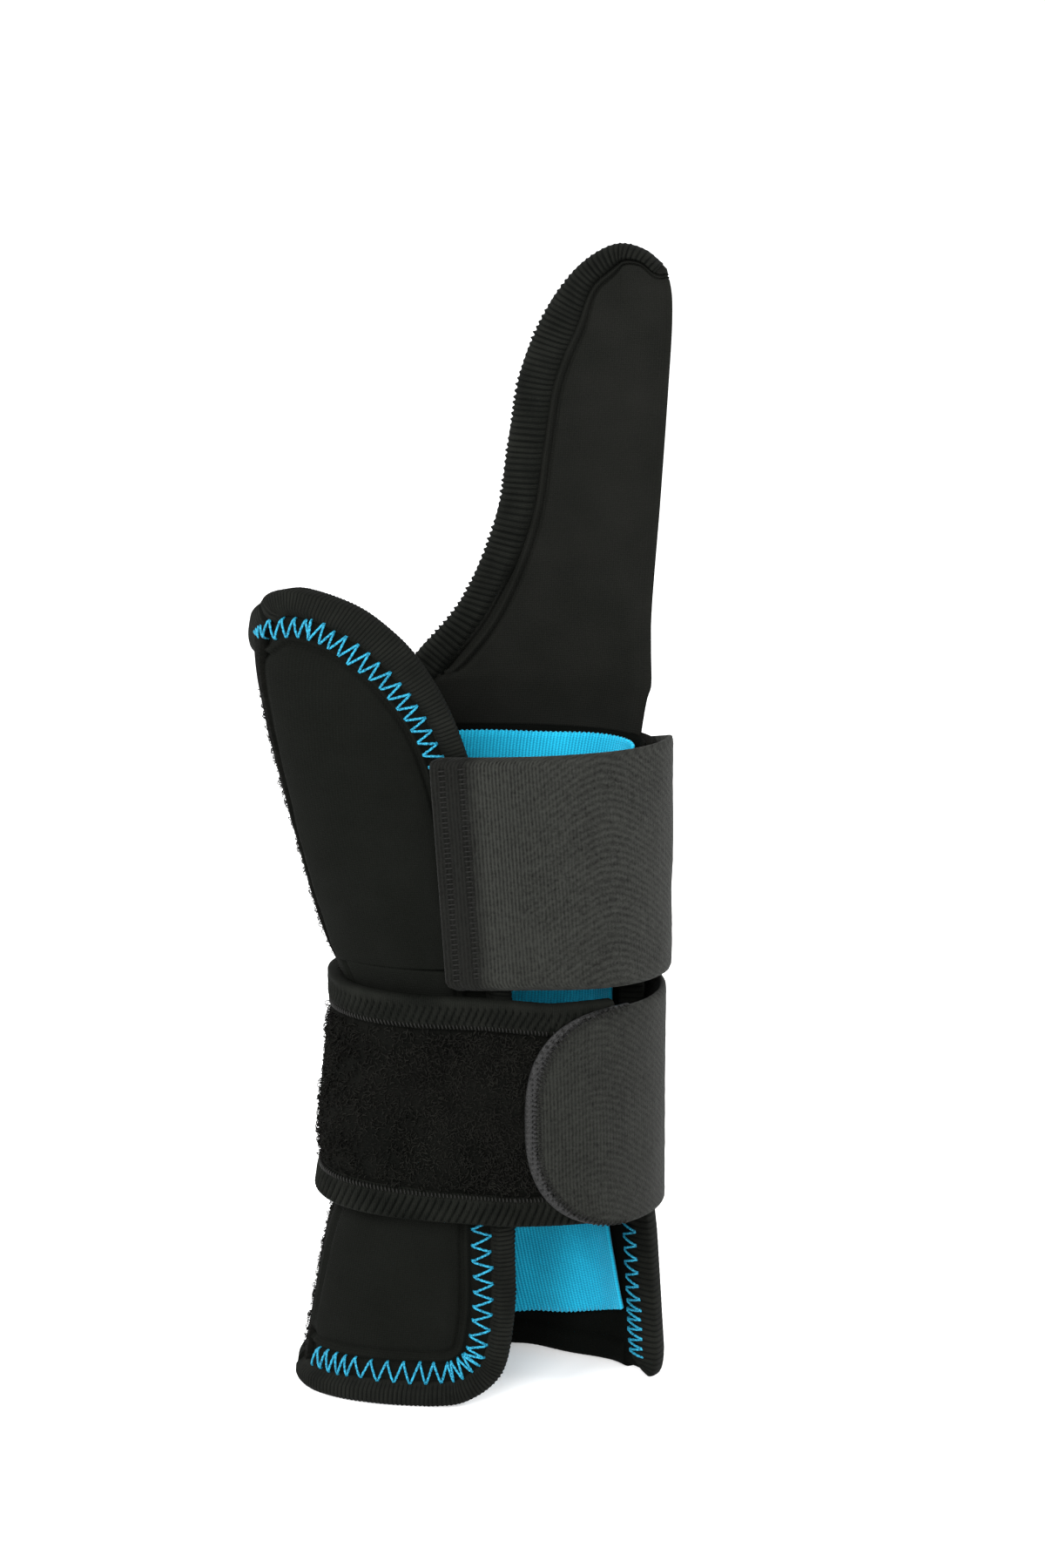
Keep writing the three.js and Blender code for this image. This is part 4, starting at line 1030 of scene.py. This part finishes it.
v = np.linspace(0, 1, 101)[:, None]
h = lerp(BAND_LOW + 0.8, BAND_HIGH - 0.8, v)
s = np.linspace(0, 1, 321)[None, :]
a = lerp(96.0, angle_at(BAND_END, h), s)
h = lerp(band_low(a) + 0.8, band_high(a) - 0.8, v)
edge = np.minimum(h - band_low(a), band_high(a) - h)
run = run_of(a, h, 8.0)
puff = (-0.75 * smooth(8.4, 6.8, edge) + 0.3 * np.sin(np.pi * v) + 0.22 * wobble(run, 7, 81, h)
        + 0.14 * wobble(run, 2.2, 82, h) - 0.5 * bump(edge, 7.9, 0.45))
band_points = wall(a, h, 8.0 + puff + band_lift(a, h))
band_under = wall(a, h, 4.95 + 0.8 * smooth(0, 9, edge) + band_lift(a, h))
band = shell("wrist_band_pad", band_under, band_points, pile_ground, (run, h), roll=0.4)

band_end_low, band_end_high = (float(angle_at(BAND_END, z)) for z in (BAND_LOW, BAND_HIGH))
angles = np.linspace(96.0, band_end_high, 900)
band_top = Line(np.stack([angles, band_high(angles)], 1), -1)
angles = np.linspace(96.0, band_end_low, 900)
band_hem = Line(np.stack([angles, band_low(angles)], 1), 1)
band_top_tape = tape("wrist_band_top_tape", band_top, 0.0, 1.0, 7.4, 4.95, 8.75, band_tape, 1.55, 0.75, 83,
                     lift=band_lift, slant=0.45, zone=(1.5, 5.6), nose=1.3, uneven=0.35,
                     groove=(1.75, 0.28, 0.25))
band_hem_tape = tape("wrist_band_hem_tape", band_hem, 0.0, 1.0, 7.0, 4.95, 8.75, band_tape, 1.55, 0.75, 84,
                     lift=band_lift, slant=-0.3, zone=(0.6, 5.3), nose=1.3, uneven=0.35)


STITCH_PITCH, STITCH_LENGTH = 0.78, 1.15


def stitch_row(name, line, inwards, slant):
    """A row of short stitches along one of the band's edges."""
    start, end = 0.02, 0.98
    count = int((line.metres_at(end) - line.metres_at(start)) / STITCH_PITCH)
    t = line.part(start, end, count)[:, None]
    f = np.linspace(-0.5, 0.5, 6)[None, :]
    a, h = line.at(t + 0 * f, inwards + f * STITCH_LENGTH)
    a = a + slant * f
    o = 8.45 + band_lift(a, h) + 0.12 * np.cos(np.pi * f) - 0.5 * np.abs(2 * f) ** 6
    return threads(name, a, h, o, 0.2 * np.ones(6), 6, dark_thread)


band_top_row = stitch_row("wrist_band_top_stitches", band_top, 6.5, 0.9)
band_hem_row = stitch_row("wrist_band_hem_stitches", band_hem, 6.3, -0.7)

rng = np.random.default_rng(85)
wanted = 5800
pile_u = rng.random(wanted)
pile_u = np.where(rng.random(wanted) < 0.72, 0.42 + 0.58 * pile_u, pile_u)
pile_h = rng.uniform(BAND_LOW + 7.9, BAND_HIGH - 8.1, wanted)
pile_a = lerp(97.0, float(angle_at(21.0, 66.0)), pile_u)
clump = ((wobble(pile_a * 0.6, 2.4, 86, pile_h) > -0.85) & (pile_h < band_high(pile_a) - 8.1)
         & (pile_h > band_low(pile_a) + 7.9))
pile_a, pile_h = pile_a[clump], pile_h[clump]
band_pile = pile("wrist_band_pile_loops", pile_a, pile_h, 8.15 + 0.2 * wobble(pile_a * 0.6, 7, 87, pile_h)
                 + band_lift(pile_a, pile_h), 0.55, pile_loop, 88, thick=0.11)

# ---- The wrist tab ----

TAB_LOW, TAB_HIGH = 41.4, 90.8
TAB_WEB = (10.0, 11.3)


def tab_lift(angle, height):
    turn = signed(angle)
    x, half = middle_and_half(height)
    bow = np.where(turn < 0, smooth(-42, -6, turn), 1.0)
    back = np.where(turn > 0, smooth(8, 70, turn), 0.0)
    return lerp((43.3 - x - half - 10.0) * bow, 4.9 - 10.0, back)


def tab_end(low, high, x):
    def end(height):
        t = np.minimum(np.abs((2 * height - low - high) / (high - low)), 0.995)
        return x + 19 * (1 - (1 - t**2.6) ** (1 / 2.2))
    return end


a, h = strap_grid(tab_end(TAB_LOW, TAB_HIGH, 15.4), TAB_LOW, TAB_HIGH, 78.0, 0.01, 700, 40, 1.0)
a = even_run(a, h, TAB_WEB[1] + tab_lift(a, h))
lift = tab_lift(a, h)
from_right = run_of(a, h, TAB_WEB[1] + lift)
run = from_right - from_right[:, -1:] + from_right[20, -1]
edge = np.minimum(np.minimum(h - TAB_LOW, TAB_HIGH - h) + 0.4, from_right)
rib = 0.5 + 0.5 * np.cos(2 * np.pi * run / 0.8)
face = ((rib - 0.5) * (0.03 + 0.08 * bump(run, 7, 5)) + 0.14 * wobble(run, 8, 91, h)
        + 0.05 * wobble(run, 1.2, 92, h) - 0.4 * smooth(1.2, 0.0, edge))
wave = 0.25 * wobble(run, 19, 93, h * 0.6)
tab_points = wall(a, h, TAB_WEB[1] + lift + face + wave)
tab_under = wall(a, h, TAB_WEB[0] + lift + 0.5 * wave + 0.2 * smooth(1.0, 0, edge))
tab = shell("wrist_tab_elastic", tab_under, tab_points, tab_elastic, (run, h), roll=0.2)

v = np.linspace(0, 1, 81)[:, None]
v = 0.5 - 0.5 * np.cos(np.pi * v)
hook_h = lerp(TAB_LOW - 0.1, TAB_HIGH + 0.1, v)
hook_start = tab_end(TAB_LOW - 0.1, TAB_HIGH + 0.1, 13.0)(hook_h)
s = np.linspace(0, 1, 61)[None, :]
hook_x = lerp(hook_start, np.maximum(26.6, hook_start + 3), s)
hook_h = hook_h + 0 * s
hook_a = angle_at(hook_x, hook_h)
hook_lift = tab_lift(hook_a, hook_h)
hook_face = 10.25 + hook_lift - 0.35 * smooth(0.6, 0, (hook_x - hook_start))
tab_hook = shell("wrist_tab_hook_patch", wall(hook_a, hook_h, 9.15 + hook_lift),
                 wall(hook_a, hook_h, hook_face), hook_tape, (hook_x, hook_h), roll=0.15)

# Rim stitches round the tab's end, from the patch's edge over the edge of the elastic.
t = np.linspace(-0.93, 0.93, 74)
rim_h = (TAB_LOW + TAB_HIGH) / 2 + (TAB_HIGH - TAB_LOW) / 2 * np.sin(t * np.pi / 2)
rim_x = tab_end(TAB_LOW, TAB_HIGH, 15.4)(rim_h)
centre_x, centre_h = 34.0, (TAB_LOW + TAB_HIGH) / 2
way = unit(np.stack([centre_x - rim_x, centre_h - rim_h], 1))
f = np.linspace(-0.95, 0.75, 7)[None, :]
x = rim_x[:, None] + way[:, :1] * f
h = np.clip(rim_h[:, None] + way[:, 1:] * f, TAB_LOW, TAB_HIGH)
a = angle_at(x, h)
o = lerp(10.35, 11.45, smooth(-0.6, 0.35, f)) + tab_lift(a, h) - 0.5 * np.abs((f + 0.1) / 0.85) ** 6
tab_stitches = threads("wrist_tab_stitching", a, h, o, 0.17 * np.ones(7), 6, dark_thread)

# ---- Pieces attached to the bodies they ride on, and the CAD parts they replace ----


def spot(x, y, z):
    return tuple((np.array([x, y, z]) - ORIGIN) * MM)


def crossing(bodies, start, end, *pieces):
    for piece in pieces:
        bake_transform(piece)


for piece in (back_lining, back_cover, back_pile, right_tape, top_tape, hem_tape_back, right_zigzag, blue,
              cuff_lining, cuff_cover, cuff_tape, cuff_zigzag):
    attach(piece, "wrap")
crossing(("wrap", "palm_wing"), spot(0, 0, 97), spot(0, 0, 130), wing_lining, wing_cover, wing_tape,
         wing_zigzag, palm_stay)
crossing(("wrap", "finger_tongue"), spot(0, 0, 147), spot(0, 0, 167), tongue, tongue_tape)
crossing(("wrap", "hand_strap"), spot(0, 8, 0), spot(0, -8, 0), hand_strap)
crossing(("wrap", "wrist_tab"), spot(0, 8, 0), spot(0, -8, 0), tab)
crossing(("wrap", "wrist_band"), spot(0, 8, 0), spot(0, -8, 0), band, band_pile, band_top_tape, band_hem_tape,
         band_top_row, band_hem_row)
for piece in (hand_hook, hand_stitches):
    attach(piece, "hand_strap")
for piece in (tab_hook, tab_stitches):
    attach(piece, "wrist_tab")

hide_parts("back_lining")
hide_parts("back_core", "back_loop_cover")
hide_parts("right_edge_binding")
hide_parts("back_top_binding")
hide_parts("back_hem_binding")
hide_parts("right_edge_stitching")
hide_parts("blue_lining")
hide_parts("cuff_lining")
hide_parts("cuff_core", "cuff_cover")
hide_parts("cuff_binding")
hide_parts("cuff_stitching")
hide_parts("wing_lining")
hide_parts("wing_core", "wing_cover")
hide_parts("wing_binding")
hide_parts("wing_stitching")
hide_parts("palm_stay")
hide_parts("tongue_sleeve", "tongue_foam")
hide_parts("tongue_binding")
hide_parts("hand_strap_webbing", "hand_strap_anchor")
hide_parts("hand_strap_hook")
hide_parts("wrist_tab_webbing", "wrist_tab_anchor")
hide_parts("wrist_tab_hook")
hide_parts("wrist_band_core", "wrist_band_loop", "wrist_band_anchor")
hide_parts("wrist_band_top_binding")
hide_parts("wrist_band_hem_binding")

hook_x, hook_z = np.meshgrid(np.linspace(-5, 19, 9), np.linspace(96.4, 146.4, 9))
wall(angle_at(hook_x, hook_z), hook_z, 5.4)
wall(hook_a, hook_h, 9.7)

# ---- Floor, light and camera ----

floor_mesh = bpy.data.meshes.new("floor")
HALF = 6.0  # half of the floor's side, in metres
corners = [(-HALF, -HALF, 0), (HALF, -HALF, 0), (HALF, HALF, 0), (-HALF, HALF, 0)]
floor_mesh.from_pydata(corners, [], [(0, 1, 2, 3)])
floor = bpy.data.objects.new("floor", floor_mesh)
bpy.context.scene.collection.objects.link(floor)
paper = Finish("studio_paper", 0.9, 0.0, 0.1, flat=False)
paper.colour(paper.mix((0.80, 0.80, 0.80, 1.0), (0.84, 0.84, 0.84, 1.0), paper.noise(300.0)))
paper.shader.inputs["Emission Color"].default_value = (1.0, 1.0, 1.0, 1.0)
paper.shader.inputs["Emission Strength"].default_value = 0.35
floor_mesh.materials.append(paper.material)

world = bpy.data.worlds.new("studio")
bpy.context.scene.world = world
world.use_nodes = True
world.node_tree.nodes["Background"].inputs["Color"].default_value = (1.0, 1.0, 1.0, 1.0)
world.node_tree.nodes["Background"].inputs["Strength"].default_value = 1.0


BRACE_MIDDLE = (0.0, 0.0, 0.13)


def softbox(name, place, size, power):
    """A rectangular lamp that points at the middle of the brace."""
    light = bpy.data.lights.new(name, "AREA")
    light.shape, light.size, light.size_y, light.energy = "RECTANGLE", size[0], size[1], power
    obj = bpy.data.objects.new(name, light)
    bpy.context.scene.collection.objects.link(obj)
    way = np.array(BRACE_MIDDLE, float) - np.array(place, float)
    obj.location = place
    obj.rotation_euler = (math.atan2(math.hypot(way[0], way[1]), -way[2]), 0.0, math.atan2(-way[0], way[1]))


softbox("front", (-0.25, -1.5, 0.75), (0.7, 0.7), 26)
softbox("key", (-0.8, -0.9, 1.1), (0.5, 0.5), 16)
softbox("right_rim", (1.1, 0.15, 0.4), (0.5, 1.2), 16)
softbox("left_rim", (-1.1, 0.35, 0.5), (0.4, 1.2), 8)

DISTANCE, RISE = 1.40, math.radians(12.8)
aim = (np.array([12.8, 0.0, 135.7]) - ORIGIN) * MM
lens = bpy.data.cameras.new("camera")
lens.sensor_fit = "VERTICAL"
lens.sensor_height = 36.0
lens.lens = 145.6
lens.clip_end = 50.0
camera = bpy.data.objects.new("camera", lens)
bpy.context.scene.collection.objects.link(camera)
camera.location = aim + DISTANCE * np.array([0.0, -math.cos(RISE), math.sin(RISE)])
camera.rotation_euler = (math.pi / 2 - RISE, 0.0, 0.0)
bpy.context.scene.camera = camera
bpy.context.scene.view_settings.view_transform = "Standard"
